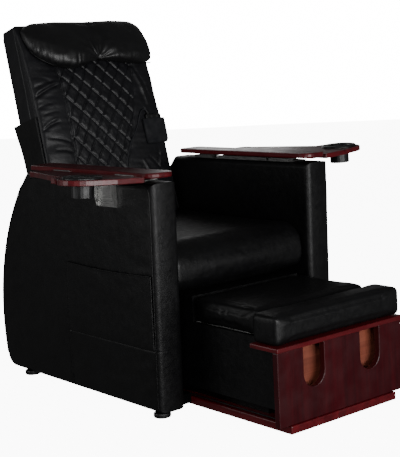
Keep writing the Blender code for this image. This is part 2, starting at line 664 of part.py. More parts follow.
def build_massage_unit(back):
    """Rails in the shell, and a carriage with two pairs of rollers that climbs on them."""
    def build_rails(bm):
        for x in (-RAIL_X, RAIL_X):
            fill_cylinder(bm, (x, RAIL_W, 0.340), 0.005, 0.580, "z", 12)
    rails = add_object("massage_rails", mesh_from(build_rails), STEEL, back)
    for v in (0.045, 0.635):
        join(rails, guide_box((-0.112, 0.040, v - 0.006), (0.112, 0.060, v + 0.006)))

    axis = add_axis("massage_carriage_axis", (0.0, 0.0, CARRIAGE_V), parent=back)
    carriage = box("massage_carriage", (-0.086, 0.0435, -0.070), (0.086, 0.0560, 0.070), DARK_STEEL, axis)
    for _, side in SIDES:
        join(carriage, guide_cylinder((side * RAIL_X, RAIL_W, 0.0), 0.0095, 0.120, "z", 16))
        for v in (-ROLLER_STEP, ROLLER_STEP):
            ear = mirror_x((0.074, ROLLER_W - 0.009, v - 0.009), (0.078, 0.046, v + 0.009), side)
            join(carriage, guide_box(*ear))
    for _, side in SIDES:
        cut(carriage, guide_cylinder((side * RAIL_X, RAIL_W, 0.0), 0.0056, 0.2, "z", 16))
    for v in (-ROLLER_STEP, ROLLER_STEP):
        cut(carriage, guide_cylinder((0.0, ROLLER_W, v), 0.0046, 0.2, "x", 12))
    cylinder("massage_motor", (0.0, 0.0245, 0.0), 0.018, 0.110, "x", DARK_STEEL, axis, 16)

    for name, v in (("upper", ROLLER_STEP), ("lower", -ROLLER_STEP)):
        spin = add_axis(f"{name}_roller_axis", (0.0, ROLLER_W, v), parent=axis)
        rollers = cylinder(f"massage_rollers_{name}", (0.0, 0.0, 0.0), 0.004, 0.160, "x", RUBBER, spin, 12)
        for x in (-0.048, 0.048):
            join(rollers, guide_cylinder((x, 0.0, 0.0), ROLLER_RADIUS, 0.030, "x", 16))


def build_remote(back):
    """A hand control in a mesh pouch on the sitter's left, with its cord."""
    outer = ((0.144, -0.0865, 0.288), (0.236, -0.0665, 0.372))
    pouch = box("remote_pouch", *outer, MESH, back, bevel=0.003)
    cut(pouch, guide_box((0.1468, -0.0842, 0.2910), (0.2332, -0.0688, 0.42)))
    control = box("remote_control", (0.160, -0.0820, 0.294), (0.222, -0.0700, 0.388), PLASTIC, back,
                  bevel=0.0025)
    for name, x in (("power", 0.180), ("mode", 0.202)):
        cut(control, guide_cylinder((x, -0.0830, 0.3785), 0.0054, 0.0060, "y", 16))
        key = add_axis(f"{name}_button_axis", (x, -0.0826, 0.3785), parent=back)
        cylinder(f"remote_{name}_button", (0.0, 0.0, 0.0), 0.0050, 0.0026, "y", RUBBER, key, 14)
    box("remote_cord_clip", (0.038, -0.0750, 0.060), (0.052, -0.0663, 0.084), PLASTIC, back, bevel=0.002)
    route = [(0.172, -0.0760, 0.3885), (0.1715, -0.0760, 0.3970), (0.1640, -0.0760, 0.4055),
             (0.1500, -0.0755, 0.4030), (0.1370, -0.0740, 0.3840), (0.1260, -0.0725, 0.3580),
             (0.1080, -0.0718, 0.3310), (0.0860, -0.0718, 0.3040), (0.0640, -0.0718, 0.2680),
             (0.0500, -0.0718, 0.2300), (0.0450, -0.0718, 0.1900), (0.0435, -0.0718, 0.1500),
             (0.0445, -0.0714, 0.1150), (0.0450, -0.0712, 0.0846)]
    tube("remote_cord", smooth_path(route, 0.0080), 0.0030, RUBBER, back, sides=2)


def build_backrest():
    back = add_axis("backrest_axis", (0.0, *BACK_AXIS), (-BACK_TILT, 0.0, 0.0))
    build_back_frame(back)
    build_shell(back)
    build_back_cushion(back)
    build_pillow(back)
    build_skirt(back)
    build_massage_unit(back)
    build_remote(back)


# ---------------------------------------------------------------- footrest
def build_footrest():
    foot = add_axis("footrest_axis", (0.0, 0.0, 0.0))
    base = box("footrest_base", (-BASE_HALF, BASE_Y[0], BASE_Z[0]), (BASE_HALF, BASE_Y[1], BASE_Z[1]),
               WOOD, foot, bevel=0.003)
    for y in WHEEL_Y:
        cut(base, guide_box((-0.192, y - 0.0045, -0.01), (0.192, y + 0.0045, 0.0150)))
        for _, side in SIDES:
            pocket = ((WHEEL_X - 0.009, y - 0.013, -0.01), (WHEEL_X + 0.009, y + 0.013, 0.0230))
            cut(base, guide_box(*mirror_x(*pocket, side)))
    for name, y in zip(("front", "rear"), WHEEL_Y):
        spin = add_axis(f"{name}_wheel_axis", (0.0, y, WHEEL_RADIUS), parent=foot)
        wheels = cylinder(f"footrest_wheels_{name}", (0.0, 0.0, 0.0), 0.003, 0.380, "x", STEEL, spin, 12)
        for x in (-WHEEL_X, WHEEL_X):
            join(wheels, guide_cylinder((x, 0.0, 0.0), WHEEL_RADIUS, 0.012, "x", 24))

    panel = box("footrest_front_panel", (-PANEL_HALF, PANEL_Y[0], PANEL_Z[0]),
                (PANEL_HALF, PANEL_Y[1], PANEL_Z[1]), WOOD, foot)
    middle_y = (PANEL_Y[0] + PANEL_Y[1]) / 2
    for x in (-SLOT_X, SLOT_X):
        low_z = SLOT_BOTTOM + SLOT_RADIUS
        outline = (arc((x, low_z), SLOT_RADIUS, 180, 360, 10)
                   + [(x + SLOT_RADIUS, 0.26), (x - SLOT_RADIUS, 0.26)])
        slot = plate("guide_slot", outline, -0.03 - middle_y, 0.03 - middle_y, "z", collection=cutters)
        slot.rotation_euler = (math.pi / 2, 0.0, 0.0)
        cut(panel, slot)
    add_bevel(panel, 0.0025, 2)
    box("footrest_backboard", (-0.190, -0.3180, PANEL_Z[0]), (0.190, -0.3060, PANEL_Z[1]), RAW_WOOD, foot)
    box("footrest_shelf", (-SHELF_HALF, SHELF_Y[0], SHELF_Z[0]), (SHELF_HALF, SHELF_Y[1], SHELF_Z[1]),
        WOOD, foot, bevel=0.003)
    box("footrest_pad", (-PAD_HALF, PAD_Y[0], PAD_Z[0]), (PAD_HALF, PAD_Y[1], PAD_Z[1]),
        LEATHER, foot, bevel=0.012, segments=3)

    tub_box = box("footrest_box", (-BOX_HALF, BOX_Y[0], BOX_Z[0]), (BOX_HALF, BOX_Y[1], BOX_Z[1]),
                  LEATHER, foot)
    join(tub_box, guide_box((-0.165, BOX_Y[0] + 0.02, BASE_Z[1] + GAP), (0.165, 0.150, BOX_Z[0] + 0.004)))
    join(tub_box, guide_box((-BOX_HALF, -0.3055, BOX_Z[0]), (BOX_HALF, BOX_Y[0] + 0.004, PANEL_Z[1])))
    cut(tub_box, guide_box((-BOX_HALF + BOX_WALL, BOX_Y[0] + BOX_WALL, BOX_Z[0] + BOX_WALL),
                           (BOX_HALF - BOX_WALL, 0.040, 0.30)))
    join(tub_box, guide_box((-BOX_HALF, 0.052, 0.20), (BOX_HALF, BOX_Y[1], LID_Z[1])))
    for _, side in SIDES:   # cheeks close the ends of the hand space behind the front panel
        join(tub_box, guide_box(*mirror_x((0.1935, PANEL_Y[1] + GAP, BOX_Z[0]),
                                          (BOX_HALF, -0.3050, PANEL_Z[1]), side)))
    join(tub_box, guide_box((-BOX_HALF, 0.0065, LID_Z[0] + 0.001), (BOX_HALF, 0.060, LID_Z[1])))
    build_basin(foot)

    lid_axis = add_axis("lid_axis", (0.0, *LID_AXIS), parent=foot)
    low = (-LID_HALF, LID_Y[0] - LID_AXIS[0], LID_Z[0] - LID_AXIS[1])
    high = (LID_HALF, LID_Y[1] - LID_AXIS[0], LID_Z[1] - LID_AXIS[1])
    box("footrest_lid", low, high, LEATHER, lid_axis, bevel=0.012, segments=3)


def build_basin(foot):
    """A tapered foot basin with a flat rim, hanging in the box."""
    def fill_tub(bm, half, y0, y1, z0, z1, shrink):
        made = bmesh.ops.create_cube(bm, size=1.0)
        for vert in made["verts"]:
            inset = 0.0 if vert.co.z > 0 else shrink
            vert.co.x = (half - inset) * (1 if vert.co.x > 0 else -1)
            vert.co.y = y1 - inset if vert.co.y > 0 else y0 + inset
            vert.co.z = z1 if vert.co.z > 0 else z0
    floor = BOX_Z[0] + BOX_WALL + GAP
    outer = mesh_from(lambda bm: fill_tub(bm, 0.184, -0.244, 0.032, floor, 0.2400, 0.022))
    basin = add_bevel(add_object("foot_basin", outer, TUB, foot), 0.010, 2)
    join(basin, guide_box((-0.190, -0.249, 0.2390), (0.190, 0.037, 0.2430)))
    inner = mesh_from(lambda bm: fill_tub(bm, 0.180, -0.240, 0.028, floor + 0.004, 0.2600, 0.026))
    cut(basin, add_bevel(add_object("guide_tub", inner, collection=cutters), 0.010, 2))


# ---------------------------------------------------------------- assembly
for side_name, side_sign in SIDES:
    build_arm(side_name, side_sign)
    build_pocket(side_name, side_sign)
    build_feet(side_name, side_sign)
    build_board(side_name, side_sign)
    build_spacer(side_name, side_sign)
    build_fixed_leaf(side_name, side_sign)
    build_tray(side_name, side_sign)
    build_bracket(side_name, side_sign)
build_seat()
build_actuator_mount()
build_rear_panel()
build_guide_rails()
build_backrest()
build_actuator()
build_footrest()
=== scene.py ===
"""The pedicure spa chair's looks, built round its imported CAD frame."""

import json
import math

import bmesh
import bpy
import numpy as np
from mathutils import Matrix, Vector


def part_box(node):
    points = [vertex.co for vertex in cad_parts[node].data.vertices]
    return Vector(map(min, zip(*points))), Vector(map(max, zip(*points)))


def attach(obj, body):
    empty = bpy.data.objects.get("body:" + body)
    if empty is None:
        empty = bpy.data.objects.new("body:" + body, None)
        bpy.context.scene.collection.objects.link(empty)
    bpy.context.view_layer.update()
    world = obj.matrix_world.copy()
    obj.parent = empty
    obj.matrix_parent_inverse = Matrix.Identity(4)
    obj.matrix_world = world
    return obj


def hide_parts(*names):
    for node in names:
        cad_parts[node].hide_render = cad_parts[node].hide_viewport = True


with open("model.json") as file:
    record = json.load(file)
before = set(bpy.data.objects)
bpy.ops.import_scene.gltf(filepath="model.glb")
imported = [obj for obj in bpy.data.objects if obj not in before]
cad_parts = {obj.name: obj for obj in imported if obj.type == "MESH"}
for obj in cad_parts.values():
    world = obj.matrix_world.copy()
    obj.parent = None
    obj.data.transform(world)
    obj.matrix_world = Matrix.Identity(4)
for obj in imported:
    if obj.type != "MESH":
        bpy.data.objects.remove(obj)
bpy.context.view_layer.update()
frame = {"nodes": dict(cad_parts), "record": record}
NODES = frame["nodes"]

MID_Y = 0.2516                       # the chair's own y is measured from the arm panels' foot
HINGE = (0.635, 0.400)               # recline axis, in the chair's y and z
TILT = math.radians(14.3)            # the backrest's lean at rest
SIDES = (("right", -1), ("left", 1))  # the sitter's side, and the sign of its x


def at(x, y, z):
    """World place of a point given in the chair's own coordinates."""
    return Vector((x, y - MID_Y, z))


def on_back(x, w, v):
    """World place of a point on the backrest: w is the depth behind its plane, v the height."""
    return at(x, HINGE[0] + w * math.cos(TILT) + v * math.sin(TILT),
              HINGE[1] - w * math.sin(TILT) + v * math.cos(TILT))


# ---------------------------------------------------------------- camera, floor and lights
# fitted to the photograph's straight edges, in pixels of its 400 x 457 frame
FOCAL_LENGTH, IMAGE_HEIGHT, AXIS_ROW = 1140.6, 457, 171.7
SENSOR = 36.0
CAMERA_PLACE = (-2.1674, -2.4107, 0.9671)
yaw, pitch, roll = (math.radians(a) for a in (39.806, 5.567, 2.885))
forward = Vector((math.sin(yaw) * math.cos(pitch), math.cos(yaw) * math.cos(pitch), -math.sin(pitch)))
right0 = Vector((math.cos(yaw), -math.sin(yaw), 0.0))
up0 = right0.cross(forward)
right = right0 * math.cos(roll) - up0 * math.sin(roll)
up = up0 * math.cos(roll) + right0 * math.sin(roll)
camera = bpy.data.objects.new("camera", bpy.data.cameras.new("camera"))
bpy.context.scene.collection.objects.link(camera)
turn = Matrix((right, up, -forward)).transposed().to_4x4()
camera.matrix_world = Matrix.Translation(at(*CAMERA_PLACE)) @ turn
camera.data.sensor_width = SENSOR
camera.data.lens = FOCAL_LENGTH / IMAGE_HEIGHT * SENSOR
camera.data.shift_y = -(IMAGE_HEIGHT / 2 - AXIS_ROW) / IMAGE_HEIGHT
camera.data.clip_end = 60.0
bpy.context.scene.camera = camera


def area_light(name, place, target, size, power):
    """A rectangular lamp at a place, turned to face its target."""
    data = bpy.data.lights.new(name, "AREA")
    data.shape = "RECTANGLE"
    data.size, data.size_y = size
    data.energy = power
    lamp = bpy.data.objects.new(name, data)
    bpy.context.scene.collection.objects.link(lamp)
    lamp.location = place
    lamp.rotation_euler = (Vector(target) - Vector(place)).to_track_quat("-Z", "Y").to_euler()


world = bpy.data.worlds.new("studio")
world.use_nodes = True
background = world.node_tree.nodes["Background"]
background.inputs["Color"].default_value = (1, 1, 1, 1)
background.inputs["Strength"].default_value = 0.085
bpy.context.scene.world = world
area_light("front", (-0.3, -3.5, 0.65), (0, 0, 0.5), (2.6, 1.2), 92)
area_light("front_left", (-1.75, -1.75, 1.0), (-0.3, -0.3, 0.6), (0.8, 0.8), 13)
area_light("rear_fill", (1.6, 3.0, 1.6), (0, 0, 0.6), (2.6, 2.2), 18)
area_light("side", (-2.4, 0.9, 0.95), (-0.34, -0.15, 0.45), (1.2, 1.0), 11)


# ---------------------------------------------------------------- materials
class Shader:
    """A small builder for node materials."""

    def __init__(self, name, colour, roughness, metallic=0.0):
        self.material = bpy.data.materials.new(name)
        self.material.use_nodes = True
        self.tree = self.material.node_tree
        self.shader = self.tree.nodes["Principled BSDF"]
        self.shader.inputs["Base Color"].default_value = (*colour, 1.0)
        self.shader.inputs["Roughness"].default_value = roughness
        self.shader.inputs["Metallic"].default_value = metallic
        self.place = self.tree.nodes.new("ShaderNodeTexCoord").outputs["Object"]
        self.normal = None

    def mapped(self, scale):
        """Object coordinates, scaled along each axis."""
        node = self.tree.nodes.new("ShaderNodeMapping")
        node.inputs["Scale"].default_value = scale
        self.tree.links.new(self.place, node.inputs["Vector"])
        return node.outputs["Vector"]

    def noise(self, scale, detail=3.0, roughness=0.5, vector=None, distortion=0.0):
        """Cloudy noise from 0 to 1, by default over object coordinates."""
        node = self.tree.nodes.new("ShaderNodeTexNoise")
        node.inputs["Scale"].default_value = scale
        node.inputs["Detail"].default_value = detail
        node.inputs["Roughness"].default_value = roughness
        node.inputs["Distortion"].default_value = distortion
        self.tree.links.new(vector or self.place, node.inputs["Vector"])
        return node.outputs["Fac"]

    def cells(self, scale):
        """Distance to the middle of the nearest cell: a pebbled pattern."""
        node = self.tree.nodes.new("ShaderNodeTexVoronoi")
        node.inputs["Scale"].default_value = scale
        self.tree.links.new(self.place, node.inputs["Vector"])
        return node.outputs["Distance"]

    def ramp(self, value, stops, colours=True):
        """A value turned into colours, or into grey levels where colours is off."""
        node = self.tree.nodes.new("ShaderNodeValToRGB")
        elements = node.color_ramp.elements
        while len(elements) < len(stops):
            elements.new(0.5)
        for element, (place, colour) in zip(elements, stops):
            element.position = place
            element.color = (*colour, 1.0) if colours else (colour, colour, colour, 1.0)
        self.tree.links.new(value, node.inputs["Fac"])
        return node.outputs["Color"]

    def bump(self, height, strength, distance):
        """Surface relief, added to whatever relief is there already."""
        node = self.tree.nodes.new("ShaderNodeBump")
        node.inputs["Strength"].default_value = strength
        node.inputs["Distance"].default_value = distance
        self.tree.links.new(height, node.inputs["Height"])
        if self.normal:
            self.tree.links.new(self.normal, node.inputs["Normal"])
        self.normal = node.outputs["Normal"]
        self.tree.links.new(self.normal, self.shader.inputs["Normal"])

    def link(self, output, socket):
        self.tree.links.new(output, self.shader.inputs[socket])

    def set(self, **values):
        for socket, value in values.items():
            self.shader.inputs[socket.replace("_", " ")].default_value = value


def leather(name, colour, rough=(0.36, 0.50), grain=900.0, crease=0.5, gloss=0.28):
    """Synthetic leather: fine pebbled grain, faint creases, and an uneven satin gloss."""
    s = Shader(name, colour, rough[0])
    low = tuple(c * 0.8 for c in colour)
    high = tuple(c * 1.35 for c in colour)
    s.link(s.ramp(s.noise(22.0, 4.0), [(0.3, low), (0.7, high)]), "Base Color")
    s.link(s.ramp(s.noise(60.0, 4.0), [(0.3, rough[0]), (0.7, rough[1])], False), "Roughness")
    s.bump(s.noise(34.0, 4.0, 0.6), crease, 0.0030)
    s.bump(s.cells(grain), 0.22, 0.0004)
    s.set(Specular_IOR_Level=gloss)
    return s.material


def wood(name, along, dark, mid, light, rough=0.30, coat=0.30):
    """Lacquered wood with its grain along one axis: streaks, pores and a clear coat."""
    s = Shader(name, mid, rough)
    across = [1.0, 1.0, 1.0]
    across["xyz".index(along)] = 0.06
    stretched = s.mapped(across)
    streaks = s.noise(46.0, 5.0, 0.62, stretched, 0.6)
    s.link(s.ramp(streaks, [(0.28, dark), (0.5, mid), (0.74, light)]), "Base Color")
    s.link(s.ramp(s.noise(18.0, 3.0), [(0.3, rough * 0.8), (0.7, rough * 1.5)], False), "Roughness")
    s.bump(s.noise(420.0, 2.0, 0.5, stretched), 0.10, 0.0003)
    s.set(Coat_Weight=coat, Coat_Roughness=0.34, Specular_IOR_Level=0.30)
    return s.material


def metal(name, colour, rough, along="x", brush=0.12):
    """Metal with fine brush marks along one axis and a cloudy tone."""
    s = Shader(name, colour, rough, 1.0)
    across = [1.0, 1.0, 1.0]
    across["xyz".index(along)] = 0.04
    s.link(s.ramp(s.noise(700.0, 3.0, 0.6, s.mapped(across)),
                  [(0.3, rough * 0.75), (0.7, rough * 1.35)], False), "Roughness")
    dull = tuple(c * 0.82 for c in colour)
    s.link(s.ramp(s.noise(35.0, 4.0), [(0.3, dull), (0.7, colour)]), "Base Color")
    s.bump(s.noise(900.0, 2.0, 0.5, s.mapped(across)), brush, 0.0002)
    return s.material


def plastic(name, colour, rough=0.34, texture=1500.0):
    """Moulded plastic, rubber or fabric: an even colour with a fine texture."""
    s = Shader(name, colour, rough)
    s.link(s.ramp(s.noise(40.0, 3.0), [(0.3, rough * 0.85), (0.7, rough * 1.25)], False), "Roughness")
    s.bump(s.noise(texture, 2.0), 0.10, 0.0002)
    return s.material


MATERIALS = {
    "leather": leather("black_leather", (0.0030, 0.0030, 0.0033)),
    "quilted_leather": leather("backrest_leather", (0.0052, 0.0052, 0.0066), rough=(0.40, 0.52),
                               grain=850.0, crease=0.35, gloss=0.36),
    "pillow": leather("pillow_leather", (0.0044, 0.0044, 0.0048), rough=(0.36, 0.48),
                      grain=950.0, crease=0.30, gloss=0.50),
    "mahogany": wood("mahogany_long", "y", dark=(0.040, 0.0012, 0.0030), mid=(0.085, 0.0030, 0.0060),
                     light=(0.130, 0.0055, 0.0090)),
    "mahogany_wide": wood("mahogany_wide", "x", dark=(0.050, 0.0014, 0.0030), mid=(0.090, 0.0032, 0.0060),
                          light=(0.125, 0.0055, 0.0085)),
    "mahogany_panel": wood("mahogany_panel", "z", dark=(0.022, 0.0003, 0.0016), mid=(0.034, 0.0005, 0.0024),
                           light=(0.052, 0.0011, 0.0036), rough=0.34, coat=0.15),
    "raw_wood": wood("backing_board", "x", dark=(0.12, 0.026, 0.014), mid=(0.19, 0.048, 0.027),
                     light=(0.27, 0.078, 0.045), rough=0.5, coat=0.0),
    "plywood": wood("plywood", "y", dark=(0.33, 0.22, 0.12), mid=(0.45, 0.33, 0.20),
                    light=(0.55, 0.42, 0.27), rough=0.65, coat=0.0),
    "bright_steel": metal("bright_steel", (0.46, 0.46, 0.45), 0.30, along="y"),
    "dark_steel": metal("black_steel", (0.012, 0.012, 0.013), 0.55, along="y", brush=0.05),
    "plastic": plastic("black_plastic", (0.0032, 0.0032, 0.0035), rough=0.40),
    "rubber": plastic("black_rubber", (0.006, 0.006, 0.006), rough=0.7, texture=700.0),
    "tub_plastic": plastic("white_acrylic", (0.78, 0.78, 0.76), rough=0.18, texture=90.0),
    "pouch_mesh": plastic("mesh_fabric", (0.0022, 0.0026, 0.0046), rough=0.85, texture=1200.0),
    "navy_rubber": plastic("cord_sheath", (0.0020, 0.0024, 0.0048), rough=0.6, texture=700.0),
}
# nodes whose wood grain runs another way than their slot's
GRAIN = {"footrest_front_panel": "mahogany_panel", "footrest_shelf": "mahogany_wide"}
slot_of = {entry["node"]: entry["material_slot"] for entry in frame["record"]["subparts"]}
for name, node in NODES.items():
    look = GRAIN.get(name, slot_of[name])
    for slot in node.material_slots:
        slot.material = MATERIALS[look]


# ---------------------------------------------------------------- floor
def glowing(name, strength):
    """A pale studio surface that is lit from within, so that it stays nearly white."""
    shader = Shader(name, (0.9, 0.9, 0.9), 0.9)
    shader.set(Emission_Color=(1, 1, 1, 1), Emission_Strength=strength, Specular_IOR_Level=0.0)
    return shader.material


def stage_piece(name, bm, material):
    """Part of the stage: the camera sees it, but it neither lights the chair nor shows in its gloss."""
    piece = bpy.data.objects.new(name, bpy.data.meshes.new(name))
    bm.to_mesh(piece.data)
    bm.free()
    piece.data.materials.append(material)
    bpy.context.scene.collection.objects.link(piece)
    piece.visible_diffuse = piece.visible_glossy = piece.visible_transmission = False
    return piece


bm = bmesh.new()
bmesh.ops.create_grid(bm, x_segments=1, y_segments=1, size=14.0, matrix=Matrix.Translation((0, 0, -0.0005)))
stage_piece("floor", bm, glowing("pale_floor", 10.0))
bm = bmesh.new()
bmesh.ops.create_icosphere(bm, subdivisions=4, radius=13.0)
dome = stage_piece("backdrop", bm, glowing("backdrop", 16.0))
dome.visible_shadow = False


# ---------------------------------------------------------------- modelling helpers
def new_piece(name, mesh, material, body, replaced=()):
    """A smooth-shaded piece that rides a body, in place of the CAD nodes that it replaces."""
    piece = bpy.data.objects.new(name, mesh)
    bpy.context.scene.collection.objects.link(piece)
    mesh.materials.clear()
    mesh.materials.append(material)
    for polygon in mesh.polygons:
        polygon.use_smooth = True
    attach(piece, body)
    if replaced:
        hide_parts(*replaced)
    return piece


def grid_faces(rows, columns, start, flip):
    """Quads of a grid of points whose first point has the number start."""
    faces = []
    for i in range(rows - 1):
        for j in range(columns - 1):
            a = start + i * columns + j
            quad = (a, a + 1, a + columns + 1, a + columns)
            faces.append(quad[::-1] if flip else quad)
    return faces


def two_sided(outer, inner):
    """A closed mesh between two grids of points of the same size, joined round their borders."""
    rows, columns = outer.shape[:2]
    count = rows * columns
    points = np.concatenate([outer.reshape(-1, 3), inner.reshape(-1, 3)])
    faces = grid_faces(rows, columns, 0, False) + grid_faces(rows, columns, count, True)
    border = [(0, j) for j in range(columns)] + [(i, columns - 1) for i in range(1, rows)]
    border += [(rows - 1, j) for j in range(columns - 2, -1, -1)]
    border += [(i, 0) for i in range(rows - 2, 0, -1)]
    rim = [i * columns + j for i, j in border]
    for a, b in zip(rim, rim[1:] + rim[:1]):
        faces.append((a, a + count, b + count, b))
    return mesh_of(points, faces)


def ring_faces(rows, columns):
    """Quads of a grid of points that closes on itself along its rows, and a cap at both ends."""
    faces = []
    for i in range(rows - 1):
        for j in range(columns):
            q = (j + 1) % columns
            faces.append((i * columns + j, i * columns + q, (i + 1) * columns + q, (i + 1) * columns + j))
    faces.append(tuple(range(columns))[::-1])
    faces.append(tuple((rows - 1) * columns + j for j in range(columns)))
    return faces


def mesh_of(points, faces):
    """A mesh with coinciding points merged and its normals turned outwards."""
    mesh = bpy.data.meshes.new("shape")
    mesh.from_pydata([tuple(p) for p in points], [], faces)
    bm = bmesh.new()
    bm.from_mesh(mesh)
    bmesh.ops.remove_doubles(bm, verts=bm.verts, dist=0.00001)
    bmesh.ops.recalc_face_normals(bm, faces=bm.faces)
    bm.to_mesh(mesh)
    bm.free()
    return mesh


def chair_points(x, y, z):
    """World coordinates, as one array, of arrays in the chair's coordinates."""
    x, y, z = np.broadcast_arrays(x, y, z)
    return np.stack([x, y - MID_Y, z], axis=-1)


def back_points(x, w, v):
    """World coordinates, as one array, of arrays in the backrest's coordinates."""
    x, w, v = np.broadcast_arrays(x, w, v)
    y = HINGE[0] + w * math.cos(TILT) + v * math.sin(TILT)
    z = HINGE[1] - w * math.sin(TILT) + v * math.cos(TILT)
    return np.stack([x, y - MID_Y, z], axis=-1)


def spaced(low, high, step, dense=(), fine=0.0012, reach=0.008):
    """Grid stations: an even step, with fine ones near both ends and near each place in dense."""
    stations = set(np.round(np.arange(low, high, step), 5)) | {round(high, 5)}
    for place in (low, high, *dense):
        offset, gap = 0.0, fine
        while offset < reach:
            for station in (place - offset, place + offset):
                if low <= station <= high:
                    stations.add(round(station, 5))
            offset += gap
            gap *= 1.35
    kept = [low]
    for station in sorted(stations):
        if station - kept[-1] > fine * 0.6:
            kept.append(station)
    kept[-1] = high
    return np.array(kept)


def waves(a, b, seed, scale, octaves=3):
    """Smooth seeded ripples over two arrays of coordinates, about -1 to 1."""
    rng = np.random.default_rng(seed)
    total = np.zeros(np.broadcast(a, b).shape)
    size = 1.0
    for _ in range(octaves):
        for _ in range(5):
            angle, phase = rng.uniform(0, 2 * math.pi, 2)
            k = rng.uniform(0.6, 1.4) * 2 * math.pi / scale
            total = total + size * np.sin(k * (a * math.cos(angle) + b * math.sin(angle)) + phase)
        scale *= 0.55
        size *= 0.55
    return total / 4.5


def ridge(distance, width):
    """A soft line profile: 1 on the line, 0 away from it."""
    return np.exp(-(distance / width) ** 2)


def tube(name, points, radius, material, body, cyclic=False, sides=3):
    """A round tube along points, as a curve with filled ends: piping, welts and the cord."""
    curve = bpy.data.curves.new(name, "CURVE")
    curve.dimensions = "3D"
    curve.bevel_depth = radius
    curve.bevel_resolution = sides
    curve.use_fill_caps = not cyclic
    spline = curve.splines.new("POLY")
    spline.points.add(len(points) - 1)
    for point, place in zip(spline.points, points):
        point.co = (*place, 1.0)
    spline.use_cyclic_u = cyclic
    spline.use_smooth = True
    curve.materials.append(material)
    piece = bpy.data.objects.new(name, curve)
    bpy.context.scene.collection.objects.link(piece)
    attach(piece, body)
    return piece


def smooth_path(points, step):
    """Evenly spaced points on a smooth curve through the given ones."""
    ends = [2 * Vector(points[0]) - Vector(points[1]), 2 * Vector(points[-1]) - Vector(points[-2])]
    knots = [ends[0], *[Vector(p) for p in points], ends[1]]
    fine = []
    for a, b, c, d in zip(knots, knots[1:], knots[2:], knots[3:]):
        for i in range(20):
            t = i / 20
            fine.append(0.5 * (2 * b + (c - a) * t + (2 * a - 5 * b + 4 * c - d) * t ** 2
                               + (3 * b - a - 3 * c + d) * t ** 3))
    fine.append(Vector(points[-1]))
    total = sum((q - p).length for p, q in zip(fine, fine[1:]))
    count = max(2, round(total / step))
    path, walked, target = [fine[0]], 0.0, total / count
    for p, q in zip(fine, fine[1:]):
        length = (q - p).length
        while walked + length >= target - 1e-9 and len(path) < count:
            path.append(p.lerp(q, (target - walked) / length))
            target += total / count
        walked += length
    path.append(fine[-1])
    return path


CLOTH_FRAMES = 20


def puffed(node, name, body, voxel, cap, pressure, shrink):
    """A leather cushion made from its CAD solid: shrunk a little, blown up as cloth, and smoothed.

    cap is the furthest that the cloth may move any point.
    """
    piece = new_piece(name, NODES[node].data.copy(), MATERIALS["leather"], body, (node,))
    remesh = piece.modifiers.new("even", "REMESH")
    remesh.mode = "VOXEL"
    remesh.voxel_size = voxel
    remesh.use_smooth_shade = True
    apply_modifiers(piece)
    smooth = piece.modifiers.new("soft edges", "SMOOTH")
    smooth.factor = 0.5
    smooth.iterations = 6
    apply_modifiers(piece)
    start = vertices(piece)
    middle = (start.max(axis=0) + start.min(axis=0)) / 2
    half = (start.max(axis=0) - start.min(axis=0)) / 2
    start = middle + (start - middle) * (1 - shrink / half)
    put_vertices(piece, start)
    cloth = piece.modifiers.new("cloth", "CLOTH")
    cloth.settings.use_pressure = True
    cloth.settings.uniform_pressure_force = pressure
    cloth.settings.effector_weights.gravity = 0.0
    cloth.settings.quality = 5
    cloth.point_cache.frame_start = 1
    cloth.point_cache.frame_end = CLOTH_FRAMES
    for step in range(1, CLOTH_FRAMES + 1):
        bpy.context.scene.frame_set(step)
    depsgraph = bpy.context.evaluated_depsgraph_get()
    evaluated = piece.evaluated_get(depsgraph)
    moved = np.empty(len(evaluated.data.vertices) * 3)
    evaluated.data.vertices.foreach_get("co", moved)
    moved = moved.reshape(-1, 3)
    piece.modifiers.remove(cloth)
    bpy.context.scene.frame_set(1)
    offset = moved - start
    length = np.linalg.norm(offset, axis=1, keepdims=True)
    offset *= np.minimum(1.0, cap / np.maximum(length, 1e-9))
    start = start + offset
    put_vertices(piece, start)
    finer = piece.modifiers.new("finer", "SUBSURF")
    finer.levels = finer.render_levels = 1
    apply_modifiers(piece)
    for polygon in piece.data.polygons:
        polygon.use_smooth = True
    return piece


def apply_modifiers(piece):
    """Turns the piece's mesh into what its modifiers make of it."""
    depsgraph = bpy.context.evaluated_depsgraph_get()
    mesh = bpy.data.meshes.new_from_object(piece.evaluated_get(depsgraph))
    piece.modifiers.clear()
    old, piece.data = piece.data, mesh
    bpy.data.meshes.remove(old)


def vertices(piece):
    flat = np.empty(len(piece.data.vertices) * 3)
    piece.data.vertices.foreach_get("co", flat)
    return flat.reshape(-1, 3)


def put_vertices(piece, points):
    piece.data.vertices.foreach_set("co", np.ascontiguousarray(points, dtype=np.float32).ravel())
    piece.data.update()


# ---------------------------------------------------------------- arm panels
ARM_OUTER, ARM_INNER, ARM_BOTTOM, ARM_TOP = 0.340, 0.250, 0.014, 0.646
ARC_CENTRE, ARC_RADIUS, HEEL = (0.162, 0.180), 0.660, 0.045
ARM_SEAM_Y = 0.422
POCKET_SEAM_Z = 0.187                # the cover's seam just below the pocket
POCKET_Y, POCKET_Z = (0.010, 0.4155), (0.1885, 0.3945)


def arm_front(z):
    """Front edge of the arm panel at height z: it leans forward a little towards the top."""
    return -0.011 * (z - ARM_BOTTOM) / (ARM_TOP - ARM_BOTTOM)


def arm_back(z):
    """Rear edge of the arm panel at height z: a big arc with a small rounded heel."""
    heel_top = ARM_BOTTOM + HEEL
    arc = ARC_CENTRE[0] + np.sqrt(ARC_RADIUS ** 2 - (np.maximum(z, heel_top) - ARC_CENTRE[1]) ** 2)
    drop = np.clip(heel_top - z, 0.0, HEEL)
    return arc - HEEL + np.sqrt(HEEL ** 2 - drop ** 2)


